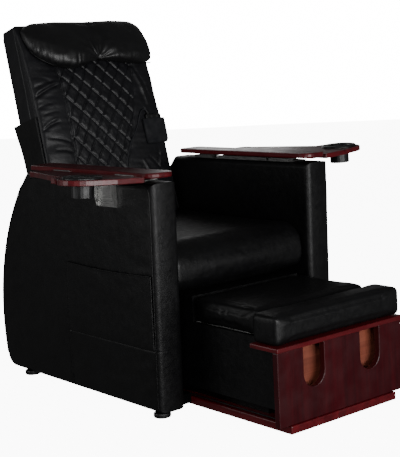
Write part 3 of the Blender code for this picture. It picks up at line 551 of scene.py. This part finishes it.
def edge_distance(y, z):
    """Distance to the arm panel's outline, inside it."""
    front = y - arm_front(z)
    top, bottom = ARM_TOP - z, z - ARM_BOTTOM
    round_back = ARC_RADIUS - np.hypot(y - ARC_CENTRE[0], z - ARC_CENTRE[1])
    heel_z = ARM_BOTTOM + HEEL
    heel_y = ARC_CENTRE[0] + math.sqrt(ARC_RADIUS ** 2 - (heel_z - ARC_CENTRE[1]) ** 2) - HEEL
    near_heel = (y > heel_y) & (z < heel_z)
    heel = np.where(near_heel, HEEL - np.hypot(y - heel_y, z - heel_z), 1.0)
    return np.maximum(0.0, np.minimum.reduce([front, top, bottom, round_back, heel]))


def arm_cover(name, side):
    """The leather of an arm panel: rounded edges, sewn seams and shallow folds."""
    rows = spaced(ARM_BOTTOM, ARM_TOP, 0.011, (POCKET_SEAM_Z, 0.395), 0.0012, 0.020)
    along = spaced(0.0, 1.0, 0.014, (0.52,), 0.0018, 0.026)
    z = rows[:, None]
    front, rear = arm_front(z), arm_back(z)
    y = front + (rear - front) * along[None, :]
    z = np.broadcast_to(z, y.shape)
    distance = edge_distance(y, z)
    radius = 0.017
    lift = radius - np.sqrt(np.maximum(0.0, radius ** 2 - (radius - np.minimum(distance, radius)) ** 2))
    inside = np.clip(distance / 0.06, 0.0, 1.0)
    soft = 0.0016 * waves(y, z, 3 + side, 0.22) * inside
    # shallow tension folds that run in from the seams and the rear edge
    pull = 0.0011 * np.sin((z + 0.35 * y) * 95.0 + 3.0 * waves(y, z, 9, 0.4))
    pull = pull * ridge(distance - 0.045, 0.030)
    outer = ARM_OUTER - lift + inside * 0.0012 + soft * 0.5 + pull * inside
    for seam in (ARM_SEAM_Y - 0.005, ARM_SEAM_Y + 0.005):
        outer = outer - 0.0014 * ridge(y - seam, 0.0019)
    outer = outer + 0.0008 * ridge(y - ARM_SEAM_Y, 0.0030)
    outer = outer - 0.0013 * ridge(distance - 0.0135, 0.0016)      # seam to the facing strip
    front_part = y < ARM_SEAM_Y
    outer = outer - np.where(front_part, 0.0013 * ridge(z - POCKET_SEAM_Z, 0.0018), 0.0)
    inner = ARM_INNER + lift - soft * 0.15 * inside
    mesh = two_sided(chair_points(side * outer, y, z), chair_points(side * inner, y, z))
    new_piece(name, mesh, MATERIALS["leather"], "chair_body", (name.replace("upholstery", "cover"),))


def arm_welts(name, side):
    """Piping along the outer edge of the arm panel: up the front, over the top, down the back."""
    inset, x = 0.0105, side * (ARM_OUTER - 0.0006)
    points = [(arm_front(z) + inset, z) for z in np.linspace(0.030, ARM_TOP - inset - 0.012, 24)]
    top = ARM_TOP - inset
    rear_top = ARC_CENTRE[0] + math.sqrt((ARC_RADIUS - inset) ** 2 - (top - ARC_CENTRE[1]) ** 2)
    points += [(y, top) for y in np.linspace(arm_front(top) + inset + 0.010, rear_top - 0.010, 26)]
    start = math.asin((top - 0.012 - ARC_CENTRE[1]) / (ARC_RADIUS - inset))
    for angle in np.linspace(start, math.asin((0.055 - ARC_CENTRE[1]) / ARC_RADIUS), 34):
        points.append((ARC_CENTRE[0] + (ARC_RADIUS - inset) * math.cos(angle),
                       ARC_CENTRE[1] + (ARC_RADIUS - inset) * math.sin(angle)))
    tube(name, smooth_path([at(x, y, z) for y, z in points[::3] + points[-1:]], 0.010), 0.0017,
         MATERIALS["leather"], "chair_body", sides=2)


def side_pocket(name, side):
    """A soft leather pocket on the front half of the arm's side, held open at its top."""
    front, rear = POCKET_Y
    bottom, mouth = POCKET_Z
    y = spaced(front, rear, 0.012, (), 0.0015, 0.012)[None, :]
    t = spaced(0.0, 1.0, 0.055, (), 0.008, 0.06)[:, None]
    across = (y - front) / (rear - front)
    top = mouth - 0.0050 * np.sin(math.pi * across)
    z = bottom + (top - bottom) * t
    edge = np.minimum.reduce([(y - front) / 0.010 + 0 * z, (rear - y) / 0.010 + 0 * z,
                              (z - bottom) / 0.012 + 0 * y])
    edge = np.sqrt(1 - (1 - np.clip(edge, 0.0, 1.0)) ** 2)
    middle = np.sin(math.pi * across)
    bulge = 0.0018 + 0.0036 * edge + 0.0030 * t ** 1.5 * middle
    folds = 0.0010 * waves(y + 0 * z, z * 1.6, 21 + side, 0.13) * edge
    outer = ARM_OUTER + 0.0006 + bulge + folds
    inner = np.maximum(ARM_OUTER + 0.0004, outer - 0.0024)
    y = np.broadcast_to(y, outer.shape)
    mesh = two_sided(chair_points(side * outer, y, z), chair_points(side * inner, y, z))
    new_piece(name, mesh, MATERIALS["leather"], "chair_body", (name.replace("_soft", ""),))
    rim = [at(side * (float(o) - 0.0008), float(a), float(b)) for o, a, b in
           zip(outer[-1, 2:-2], y[-1, 2:-2], z[-1, 2:-2])]
    tube(name.replace("_soft", "_piping"), smooth_path(rim[::3] + rim[-1:], 0.008), 0.0026,
         MATERIALS["leather"], "chair_body", sides=2)


# ---------------------------------------------------------------- backrest
HALF = 0.2415                        # half the width of the backrest's cushion


def cushion_front(v, x=0.0):
    """Depth of the backrest's front face, before its quilting: it swells towards the middle."""
    edge = np.interp(v, [0.03, 0.06, 0.20, 0.40, 0.52, 0.64, 0.69, 0.712, 0.722],
                     [-0.046, -0.052, -0.055, -0.057, -0.053, -0.040, -0.029, -0.018, -0.0125])
    crown = np.interp(v, [0.03, 0.12, 0.45, 0.62, 0.72], [0.008, 0.016, 0.020, 0.010, 0.0])
    return edge - crown * (1 - (np.abs(x) / HALF) ** 2.4)


def left_seam(v):
    """The x of the seam between the quilting and the bolster on the photograph's left."""
    return -0.1430 + 0.0015 * np.sin((v - 0.3) * 14.0)


def right_seam(v):
    """The x of the slanting seam on the quilting's other side."""
    return np.interp(v, [0.03, 0.18, 0.26, 0.36, 0.46, 0.56, 0.72],
                     [0.030, 0.045, 0.070, 0.108, 0.140, 0.158, 0.166])


# folds of the backrest's cover, as ends (x, v), depth and half width
FOLDS = (
    ((-0.243, 0.4735), (-0.150, 0.5140), 0.0052, 0.0045), ((-0.240, 0.487), (-0.156, 0.522), -0.0034, 0.0050),
    ((-0.240, 0.506), (-0.172, 0.524), 0.0030, 0.0050), ((-0.240, 0.543), (-0.180, 0.530), 0.0026, 0.0060),
    ((-0.236, 0.366), (-0.178, 0.392), 0.0042, 0.0045), ((-0.232, 0.377), (-0.182, 0.402), -0.0026, 0.0050),
    ((-0.222, 0.342), (-0.145, 0.3195), 0.0034, 0.0045), ((-0.205, 0.300), (-0.150, 0.288), 0.0026, 0.0050),
    ((-0.236, 0.440), (-0.190, 0.452), 0.0022, 0.0050), ((-0.234, 0.262), (-0.160, 0.240), 0.0028, 0.0060),
    ((-0.225, 0.416), (-0.170, 0.424), 0.0016, 0.0040), ((0.150, 0.575), (0.188, 0.430), -0.0044, 0.0055),
    ((0.166, 0.560), (0.205, 0.440), 0.0034, 0.0060), ((0.170, 0.420), (0.190, 0.330), -0.0030, 0.0050),
    ((0.150, 0.245), (0.205, 0.180), 0.0040, 0.0050), ((0.120, 0.235), (0.150, 0.160), -0.0034, 0.0050),
    ((0.205, 0.270), (0.180, 0.190), -0.0030, 0.0045), ((0.090, 0.200), (0.140, 0.150), 0.0030, 0.0050),
    ((0.186, 0.255), (0.232, 0.215), 0.0028, 0.0050), ((0.215, 0.560), (0.225, 0.430), 0.0020, 0.0060),
)


def fold_depth(x, v):
    """Depth of all folds together at x and v: each has a valley and a low swell beside it."""
    total = np.zeros(np.broadcast(x, v).shape)
    for (x0, v0), (x1, v1), depth, width in FOLDS:
        length = math.hypot(x1 - x0, v1 - v0)
        ux, uv = (x1 - x0) / length, (v1 - v0) / length
        t = np.clip(((x - x0) * ux + (v - v0) * uv) / length, -0.25, 1.25)
        bend = 0.004 * np.sin(t * math.pi)
        across = (x - x0) * uv - (v - v0) * ux + bend
        along = np.clip(np.minimum(t + 0.12, 1.12 - t) / 0.25, 0, 1)
        swell = 0.5 * ridge(across - 2.4 * width, width * 1.7)
        total = total + 0.52 * depth * along * (ridge(across, width) - swell)
    return total


# the quilting's net: where its two counts are zero, how they grow with x and v, and counts per metre
NET_ORIGIN = (-0.1081, 0.4771)
NET_GROWTH = ((16.39, 15.14), (23.22, -14.79))
NET_COUNTS = (22.3, 27.5)


def quilt_lines(x, v):
    """Distance to the nearest quilting seam, in metres, on a slightly skewed diamond net."""
    x = x + 0.0022 * np.sin(v * 37.0 + x * 21.0)
    v = v + 0.0024 * np.sin(x * 43.0 + 1.0 + v * 17.0)
    away = []
    for (by_x, by_v), counts in zip(NET_GROWTH, NET_COUNTS):
        count = by_x * (x - NET_ORIGIN[0]) + by_v * (v - NET_ORIGIN[1]) - 0.5
        away.append(np.abs(count - np.round(count)) / counts)
    return np.minimum(*away)


def back_cushion():
    """The backrest's front: a quilted middle between two plain bolsters with folds."""
    x = spaced(-HALF, HALF, 0.0019, (-0.143, -0.134), 0.0011, 0.006)[None, :]
    v = spaced(0.030, 0.722, 0.0020, (), 0.0012, 0.006)[:, None]
    x, v = np.broadcast_arrays(x, v)
    face = cushion_front(v, x)
    side = np.clip((HALF - np.abs(x)) / 0.012, 0.0, 1.0)
    roll = 1 - np.sqrt(1 - (1 - side) ** 2)
    depth = face + (-0.0125 - face) * np.where(side < 0.02, 1.0, roll * 0.42)
    left, right_side = left_seam(v), right_seam(v)
    panel = np.clip((x - left) / 0.010, 0, 1) * np.clip((right_side - x) / 0.012, 0, 1)
    panel = panel * np.clip((v - 0.14) / 0.03, 0, 1) * (1 - 0.5 * np.clip((v - 0.60) / 0.06, 0, 1))
    away = quilt_lines(x, v)
    puff = 0.55 * (1 - np.exp(-(away / 0.0013) ** 1.2))
    puff = puff + 0.45 * (1 - (1 - np.clip(away / 0.0105, 0, 1)) ** 2)
    depth = depth + panel * (0.0034 - 0.0056 * puff)
    depth = depth + panel * 0.0010 * waves(x * 1.4, v, 77, 0.04)
    for seam, strength in ((left, 0.0050), (left + 0.0075, 0.0034), (right_side, 0.0044)):
        depth = depth + strength * ridge(x - seam, 0.0021) * np.clip(side * 2, 0, 1)
    bolster = (1 - panel) * side
    over_left = np.clip((x + HALF) / (left + HALF), 0, 1)
    over_right = np.clip((HALF - x) / np.maximum(HALF - right_side, 0.02), 0, 1)
    swell = np.sin(math.pi * np.where(x < left, over_left, over_right))
    depth = depth - 0.0036 * swell * bolster
    depth = depth + bolster * (0.0016 * waves(x * 0.8, v * 1.5, 5, 0.11) + fold_depth(x, v))
    mesh = two_sided(back_points(x, depth, v), back_points(x, np.full(x.shape, -0.0121), v))
    new_piece("backrest_quilt", mesh, MATERIALS["quilted_leather"], "backrest", ("back_cushion",))
    for name, side_sign in SIDES:
        points = [on_back(side_sign * (HALF - 0.0012), float(cushion_front(q, HALF)) + 0.0175, q)
                  for q in np.linspace(0.05, 0.66, 34)]
        tube(f"cushion_welt_{name}", smooth_path(points, 0.012), 0.0024, MATERIALS["quilted_leather"],
             "backrest", sides=2)


# the remote's cord: out of the control's top, over in a short loop, and down to its clip
CORD_ROUTE = [(0.172, -0.0760, 0.3885), (0.1715, -0.0760, 0.3970), (0.1640, -0.0760, 0.4055),
              (0.1500, -0.0755, 0.4030), (0.1370, -0.0740, 0.3840), (0.1260, -0.0725, 0.3580),
              (0.1080, -0.0718, 0.3310), (0.0860, -0.0718, 0.3040), (0.0640, -0.0718, 0.2680),
              (0.0500, -0.0718, 0.2300), (0.0450, -0.0718, 0.1900), (0.0435, -0.0718, 0.1500),
              (0.0445, -0.0714, 0.1150), (0.0450, -0.0712, 0.0846)]


CORD_DIAMETER = 0.006


def remote_cord():
    """The remote's cord as declared, and the ribbed strain relief where it leaves the control."""
    path = smooth_path([on_back(*place) for place in CORD_ROUTE], 0.0080)
    cord = tube("remote_cable", path, CORD_DIAMETER / 2, MATERIALS["navy_rubber"], "backrest",
                sides=4)
    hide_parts("remote_cord")
    profile = [(0.0031, 0.0), (0.0050, 0.0002), (0.0050, 0.0016), (0.0042, 0.0019), (0.0042, 0.0027),
               (0.0047, 0.0030), (0.0046, 0.0040), (0.0040, 0.0043), (0.0040, 0.0050), (0.0043, 0.0053),
               (0.0041, 0.0064), (0.0031, 0.0068)]
    ring_piece("remote_cord_relief", profile, Matrix.Translation(path[0]) @ back_turn(), MATERIALS["rubber"],
               "backrest")


def back_turn():
    """Turn that stands an upright piece along the backrest."""
    return Matrix.Rotation(-TILT, 4, "X")


def bridge(bm, rings):
    """Joins each ring of vertices to the next one."""
    for low, high in zip(rings, rings[1:]):
        for i in range(len(low)):
            j = (i + 1) % len(low)
            bm.faces.new((low[i], low[j], high[j], high[i]))


def finished(bm, name):
    """The mesh made from a bmesh, with its normals turned outwards."""
    bmesh.ops.recalc_face_normals(bm, faces=bm.faces)
    mesh = bpy.data.meshes.new(name)
    bm.to_mesh(mesh)
    bm.free()
    return mesh


def ring_piece(name, profile, place, material, body, steps=24):
    """A round piece with a hole: (radius, height) pairs turned round its axis, the last joined to the first."""
    bm = bmesh.new()
    angles = np.linspace(0, 2 * math.pi, steps, endpoint=False)
    rings = [[bm.verts.new(place @ Vector((r * math.cos(a), r * math.sin(a), h))) for a in angles]
             for r, h in profile]
    bridge(bm, rings + rings[:1])
    new_piece(name, finished(bm, name), material, body, ())


POUCH_X, POUCH_W, POUCH_BOTTOM, POUCH_HEIGHT = 0.1900, -0.0768, 0.2890, 0.0820


def remote_pouch():
    """A soft mesh bag, closed below and open above, with a hemmed mouth."""
    angles = np.linspace(0, 2 * math.pi, 72, endpoint=False)[None, :]
    rows = []
    outside, inside = np.linspace(0, 1, 22), np.linspace(1, 0.03, 18)
    for inset, heights in ((0.0, outside), (0.0014, inside)):
        t = heights[:, None]
        half = (0.0440 + 0.0018 * np.sin(t * 2.6)) * (1 - 0.10 * np.clip(0.12 - t, 0, 1) / 0.12) - inset
        deep = 0.0094 * np.clip(0.45 + t * 5, 0, 1) * (1 - 0.06 * t) - inset * 0.8
        cos, sin = np.cos(angles), np.sin(angles)
        x = POUCH_X + half * np.sign(cos) * np.abs(cos) ** 0.34
        w = POUCH_W + deep * np.sign(sin) * np.abs(sin) ** 0.62
        slack = 0.0011 * np.sin(x * 130 + t * 7) * np.clip(-sin, 0, 1) * np.sin(math.pi * t)
        v = POUCH_BOTTOM + POUCH_HEIGHT * t + inset * (1 - t)
        v = v + 0.0025 * np.clip(-sin, 0, 1) * t * np.cos((x - POUCH_X) * 38)
        rows.append(back_points(x, w + slack, v + 0 * x))
    points = np.concatenate(rows)
    new_piece("pouch_bag", mesh_of(points.reshape(-1, 3), ring_faces(*points.shape[:2])),
              MATERIALS["pouch_mesh"], "backrest", ("remote_pouch",))
    hem = [Vector(p) for p in points[len(outside) - 1]]
    tube("pouch_hem", hem, 0.0011, MATERIALS["navy_rubber"], "backrest", cyclic=True, sides=2)


SCREW_PLACES = ((0.224, 0.590), (0.158, 0.589), (0.166, 0.620))    # y, z
SCREW_PROFILE = ((0.0046, 0.0), (0.0046, 0.0008), (0.0040, 0.0018), (0.0028, 0.0024), (0.0012, 0.0026),
                 (0.0003, 0.0026))
PLATE_X = 0.3428                     # outer face of the tray bracket's plate


def bracket_screws(side, sign):
    """Three pan-head screws with a cross recess on the tray bracket's plate: their heads only."""
    bm = bmesh.new()
    for y, z in SCREW_PLACES:
        turn = Matrix.Translation(at(sign * PLATE_X, y, z)) @ Matrix.Rotation(sign * math.pi / 2, 4, "Y")
        rings = []
        for radius, height in SCREW_PROFILE:
            ring = []
            for a in np.linspace(0, 2 * math.pi, 32, endpoint=False):
                arm = min(abs(math.cos(a)), abs(math.sin(a))) * radius
                sink = 0.0011 if arm < 0.0005 and radius < 0.0034 else 0.0
                spot = Vector((radius * math.cos(a), radius * math.sin(a), height - sink))
                ring.append(bm.verts.new(turn @ spot))
            rings.append(ring)
        bm.faces.new(rings[0][::-1])
        bm.faces.new(rings[-1])
        bridge(bm, rings)
    name = f"{side}_bracket_screws"
    new_piece(name, finished(bm, name), MATERIALS["bright_steel"], "chair_body", ())


CINCH_X, CINCH_V = 0.016, 0.588      # where the pillow is drawn together


def pillow():
    """A soft head pillow of two lobes, drawn together at the middle of its lower edge."""
    left_end, right_end = -0.2340, 0.2435
    u = np.linspace(-1, 1, 200)[:, None]
    k = np.linspace(0, 2 * math.pi, 105)[None, :-1]
    reach = np.sign(u) * (1 - (1 - np.abs(u)) ** 1.3)
    x = (left_end + right_end) / 2 + (right_end - left_end) / 2 * reach
    end = np.clip(1 - np.abs(reach) ** 10, 0, 1) ** 0.5 * 0.9 + 0.1 * (np.abs(u) < 1)
    knots = [-0.2340, -0.2280, -0.2150, -0.2000, -0.1580, -0.0980, -0.0500, -0.0150, 0.0150, 0.0450, 0.1200,
             0.1900, 0.2350, 0.2435]
    low = np.interp(x, knots, [0.6600, 0.6350, 0.6120, 0.5960, 0.5710, 0.5580, 0.5660, 0.5800, 0.5870, 0.5820,
                               0.5720, 0.5660, 0.5680, 0.5850])
    high = np.interp(x, [-0.234, -0.215, -0.19, -0.10, 0.01, 0.12, 0.20, 0.23, 0.2435],
                     [0.708, 0.722, 0.728, 0.732, 0.7295, 0.733, 0.730, 0.722, 0.700])
    cinch = ridge(x - CINCH_X, 0.034)
    over_lobe = np.where(x < CINCH_X, (CINCH_X - x) / 0.250, (x - CINCH_X) / 0.2275)
    lobe = np.sin(math.pi * np.clip(over_lobe, 0, 1)) ** 0.6
    centre_v, half_v = (low + high) / 2, (high - low) / 2 * (0.6 + 0.4 * end)
    v = centre_v + half_v * np.sin(k)
    t = (v - low) / (high - low)
    plane = np.interp(v, [0.55, 0.60, 0.64, 0.70, 0.735], [-0.066, -0.058, -0.048, -0.032, -0.022])
    plane = plane - 0.012 * (1 - (np.abs(x) / HALF) ** 2.4) * np.clip((0.66 - v) / 0.08, 0, 1)
    thick = (0.034 + 0.010 * lobe - 0.013 * cinch * np.clip(1.2 - t * 1.4, 0, 1)) * end
    front = np.cos(k)
    swell = np.where(front > 0, thick * np.abs(front) ** 0.8, 0.004 * front)
    w = plane - 0.0035 - swell * np.clip(1.06 - 0.42 * np.clip(t - 0.45, 0, 1), 0.55, 1.1)
    # pleats fan out upwards from the cinch; small puckers cross the piping of the lower edge
    away = np.hypot(x - CINCH_X, (v - CINCH_V) * 0.9)
    angle = np.arctan2(v - CINCH_V, x - CINCH_X)
    pleats = 0.0034 * np.sin(angle * 13.0 + 0.8) * np.exp(-away / 0.048) * np.clip(away / 0.010, 0, 1)
    pleats = pleats * (1 + 0.6 * (x < CINCH_X))
    near_low = np.exp(-(np.clip(v - low, 0, 1) / 0.024) ** 1.4)
    strength = np.interp(x, [-0.234, -0.19, -0.08, -0.02, 0.05, 0.2435],
                         [0.0020, 0.0026, 0.0022, 0.0012, 0.0007, 0.0007])
    pucker = strength * np.sin(x * 350 + 6 * np.sin(x * 31) + 2.5 * np.sin(x * 83)) * near_low
    pucker = pucker * np.clip(1 + 0.8 * np.sin(x * 61 + 1.3), 0.15, 1.6)
    pleats = pleats + 0.0016 * np.sin(angle * 7.0 + 2.2) * np.exp(-away / 0.11) * np.clip(away / 0.03, 0, 1)
    aside = np.abs(x - CINCH_X)
    crease = 0.0030 * ridge((v - 0.712) - 0.20 * aside, 0.006) * np.clip(1 - aside / 0.10, 0, 1)
    soft = 0.0022 * waves(x + 0 * v, v * 1.2, 12, 0.17)
    w = w - (pleats + pucker + soft - crease) * np.clip(front + 0.25, 0, 1) * end
    points = back_points(x + 0 * w, w, v)
    mesh = mesh_of(points.reshape(-1, 3), ring_faces(*points.shape[:2]))
    new_piece("pillow", mesh, MATERIALS["pillow"], "backrest", ("head_pillow",))
    # piping along the lower edge
    edge = [on_back(float(a), float(b) - 0.001, float(c) + 0.0015) for a, b, c in
            zip(x[8:-8, 0], (plane[8:-8, 78] - 0.0055), low[8:-8, 0])]
    tube("pillow_piping", smooth_path(edge[::5] + edge[-1:], 0.010), 0.0021, MATERIALS["leather"], "backrest",
         sides=2)


def thickened(outer, thickness):
    """A closed mesh of even thickness, on the inner side of a grid of points."""
    normal = np.cross(np.gradient(outer, axis=1), np.gradient(outer, axis=0))
    normal /= np.maximum(np.linalg.norm(normal, axis=-1, keepdims=True), 1e-9)
    return two_sided(outer, outer + normal * thickness)


def u_path(half, front, rear, radius, step=0.008):
    """Points (x, w) from the sitter's right front edge, round the back, to the left front edge."""
    side_points = max(4, int((rear - radius - front) / step))
    points = [(-half, w) for w in np.linspace(front, rear - radius, side_points)]
    points += [(-half + radius - radius * math.cos(a), rear - radius + radius * math.sin(a))
               for a in np.linspace(0, math.pi / 2, 7)[1:]]
    points += [(x, rear) for x in np.linspace(-half + radius, half - radius, int(2 * half / step))[1:-1]]
    points += [(half - radius + radius * math.sin(a), rear - radius + radius * math.cos(a))
               for a in np.linspace(0, math.pi / 2, 7)]
    points += [(half, w) for w in np.linspace(rear - radius, front, side_points)[1:]]
    return np.array(points)


def back_shell():
    """The upholstered casing of the backrest: sides, back and top in one skin."""
    bm = bmesh.new()
    made = bmesh.ops.create_cube(bm, size=1.0)
    low, high = (-0.2412, -0.0114, 0.0305), (0.2412, 0.0672, 0.7265)
    for vert in made["verts"]:
        for i in range(3):
            vert.co[i] = low[i] if vert.co[i] < 0 else high[i]
    bm.faces.ensure_lookup_table()
    gone = [f for f in bm.faces if f.normal.y < -0.5 or f.normal.z < -0.5]
    bmesh.ops.delete(bm, geom=gone, context="FACES")
    edges = [e for e in bm.edges if len(e.link_faces) == 2]
    bmesh.ops.bevel(bm, geom=edges, offset=0.009, segments=4, affect="EDGES", profile=0.5)
    for axis, step in ((0, 0.012), (1, 0.010), (2, 0.012)):
        for place in np.arange(low[axis] + step, high[axis] - step * 0.3, step):
            normal = [0, 0, 0]
            normal[axis] = 1
            geometry = bm.verts[:] + bm.edges[:] + bm.faces[:]
            spot = [0, 0, 0]
            spot[axis] = float(place)
            bmesh.ops.bisect_plane(bm, geom=geometry, dist=1e-5, plane_co=spot, plane_no=normal)
    mesh = finished(bm, "shell")
    points = np.array([v.co[:] for v in mesh.vertices])
    x, w, v = points[:, 0], points[:, 1], points[:, 2]
    on_side = np.clip((np.abs(x) - 0.236) / 0.004, 0, 1)
    on_rear = np.clip((w - 0.063) / 0.004, 0, 1)
    # vertical pulls on the sides, and a gently crowned back with a band across it
    pull = 0.0016 * waves(w * 1.2, v, 31, 0.12) * np.clip((w + 0.011) / 0.02, 0, 1)
    x = x - np.sign(x) * on_side * (0.0006 + pull)
    crown = 0.0024 * np.clip(1 - (x / 0.24) ** 2, 0, 1) + 0.0010 * waves(x, v, 41, 0.20)
    w = w + on_rear * (crown - 0.0018 * ridge(v - 0.470, 0.0025))
    mesh.vertices.foreach_set("co", back_points(x, w, v).astype(np.float32).ravel())
    piece = new_piece("back_casing", mesh, MATERIALS["quilted_leather"], "backrest", ("back_shell",))
    wall = piece.modifiers.new("wall", "SOLIDIFY")
    wall.thickness = 0.0032
    wall.offset = -1.0
    apply_modifiers(piece)
    for name, side_sign in SIDES:
        points = [on_back(side_sign * 0.2390, 0.0652, q) for q in np.linspace(0.05, 0.705, 40)]
        tube(f"casing_welt_{name}", smooth_path(points, 0.014), 0.0019, MATERIALS["leather"], "backrest",
             sides=2)


SKIRT_V = (0.062, 0.4165)
SKIRT_HALF, SKIRT_FRONT, SKIRT_DEPTH = 0.2462, -0.0455, 0.1455


def back_skirt():
    """A loose skirt round the lower half of the backrest: it flares at the top, behind."""
    v = spaced(*SKIRT_V, 0.010, (), 0.0015, 0.006)[:, None]
    path = u_path(SKIRT_HALF, SKIRT_FRONT, rear=0.1, radius=0.010)
    rear = np.interp(v, [0.06, 0.27, 0.345, 0.4165], [0.0715, 0.0800, 0.0890, 0.1045])
    x = path[None, :, 0] + 0 * v
    base = path[None, :, 1]
    spread = SKIRT_FRONT + (base - SKIRT_FRONT) * (rear - SKIRT_FRONT) / SKIRT_DEPTH
    w = np.where(base > SKIRT_FRONT, spread, SKIRT_FRONT)
    on_rear = np.clip((base - 0.085) / 0.01, 0, 1)
    up_side = (v - 0.06) / 0.36
    x = x - np.sign(x) * (1 - on_rear) * 0.0014 * (0.6 + 0.4 * waves(w * 1.3, v, 55, 0.13))
    w = w + on_rear * 0.0024 * waves(x, v * 1.2, 61, 0.16) * up_side - 0.0010 * on_rear
    mesh = thickened(back_points(x, w, v + 0 * x), 0.0016)
    new_piece("backrest_skirt", mesh, MATERIALS["leather"], "backrest", ("back_skirt",))


# ---------------------------------------------------------------- covered boards
def covered_box():
    """The footrest's leather-covered box: softly rounded edges, with piping along its sides' lower edges."""
    piece = new_piece("footrest_box_cover", NODES["footrest_box"].data.copy(), MATERIALS["leather"], "footrest",
                      ("footrest_box",))
    bevel = piece.modifiers.new("soft edges", "BEVEL")
    bevel.limit_method = "ANGLE"
    bevel.angle_limit = math.radians(40)
    bevel.width = 0.0045
    bevel.segments = 3
    apply_modifiers(piece)
    for polygon in piece.data.polygons:      # the bevels are smooth, and the large faces flat
        polygon.use_smooth = polygon.area < 0.0004
    low, high = (Vector(corner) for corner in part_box("footrest_box"))
    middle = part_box("footrest_front_panel")[1][1] + 0.004
    for name, side_sign in SIDES:
        x = side_sign * (high.x + 0.0002)
        seam = [Vector((x, middle + 0.03, low.z + 0.010)), Vector((x, high.y - 0.06, low.z + 0.010)),
                Vector((x, high.y - 0.012, low.z + 0.010))]
        tube(f"footrest_box_piping_{name}", smooth_path(seam, 0.02), 0.0020, MATERIALS["leather"], "footrest",
             sides=2)


def rear_cover():
    """The leather stretched over the rear panel, with a seam down its middle."""
    low, high = (np.array(corner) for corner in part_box("rear_panel"))
    x = spaced(low[0] + 0.001, high[0] - 0.001, 0.008, (-0.006, 0.006), 0.0012, 0.008)[None, :]
    z = spaced(low[2], high[2], 0.008, (), 0.0015, 0.008)[:, None]
    x, z = np.broadcast_arrays(x, z)
    edge = np.minimum(np.minimum(high[0] - np.abs(x), z - low[2]), high[2] - z)
    roll = np.sqrt(np.clip(1 - (1 - np.clip(edge / 0.006, 0, 1)) ** 2, 0, 1))
    swell = 0.0022 * np.clip(edge / 0.06, 0, 1) + 0.0012 * waves(x, z * 0.8, 91, 0.18)
    rear = high[1] - 0.006 * (1 - roll) + swell * roll - 0.0022 * ridge(x, 0.0018)
    outer = np.stack([x, rear, z], axis=-1)[:, ::-1]
    inner = np.stack([x, np.full(x.shape, low[1]), z], axis=-1)[:, ::-1]
    new_piece("rear_panel_cover", two_sided(outer, inner), MATERIALS["leather"], "chair_body",
              ("rear_panel",))


# ---------------------------------------------------------------- assembly
for side_name, side_sign in SIDES:
    arm_cover(f"{side_name}_arm_upholstery", side_sign)
    arm_welts(f"{side_name}_arm_welt", side_sign)
    side_pocket(f"{side_name}_side_pocket_soft", side_sign)
    bracket_screws(side_name, side_sign)
remote_cord()
remote_pouch()
covered_box()
rear_cover()
puffed("seat_cushion", "seat_upholstery", "chair_body",
       voxel=0.006, cap=0.0055, pressure=3.0, shrink=0.0030)
puffed("footrest_pad", "footrest_front_cushion", "footrest",
       voxel=0.005, cap=0.0026, pressure=2.0, shrink=0.0012)
puffed("footrest_lid", "footrest_lid_cushion", "footrest_lid",
       voxel=0.005, cap=0.0028, pressure=2.0, shrink=0.0012)
back_cushion()
pillow()
back_shell()
back_skirt()
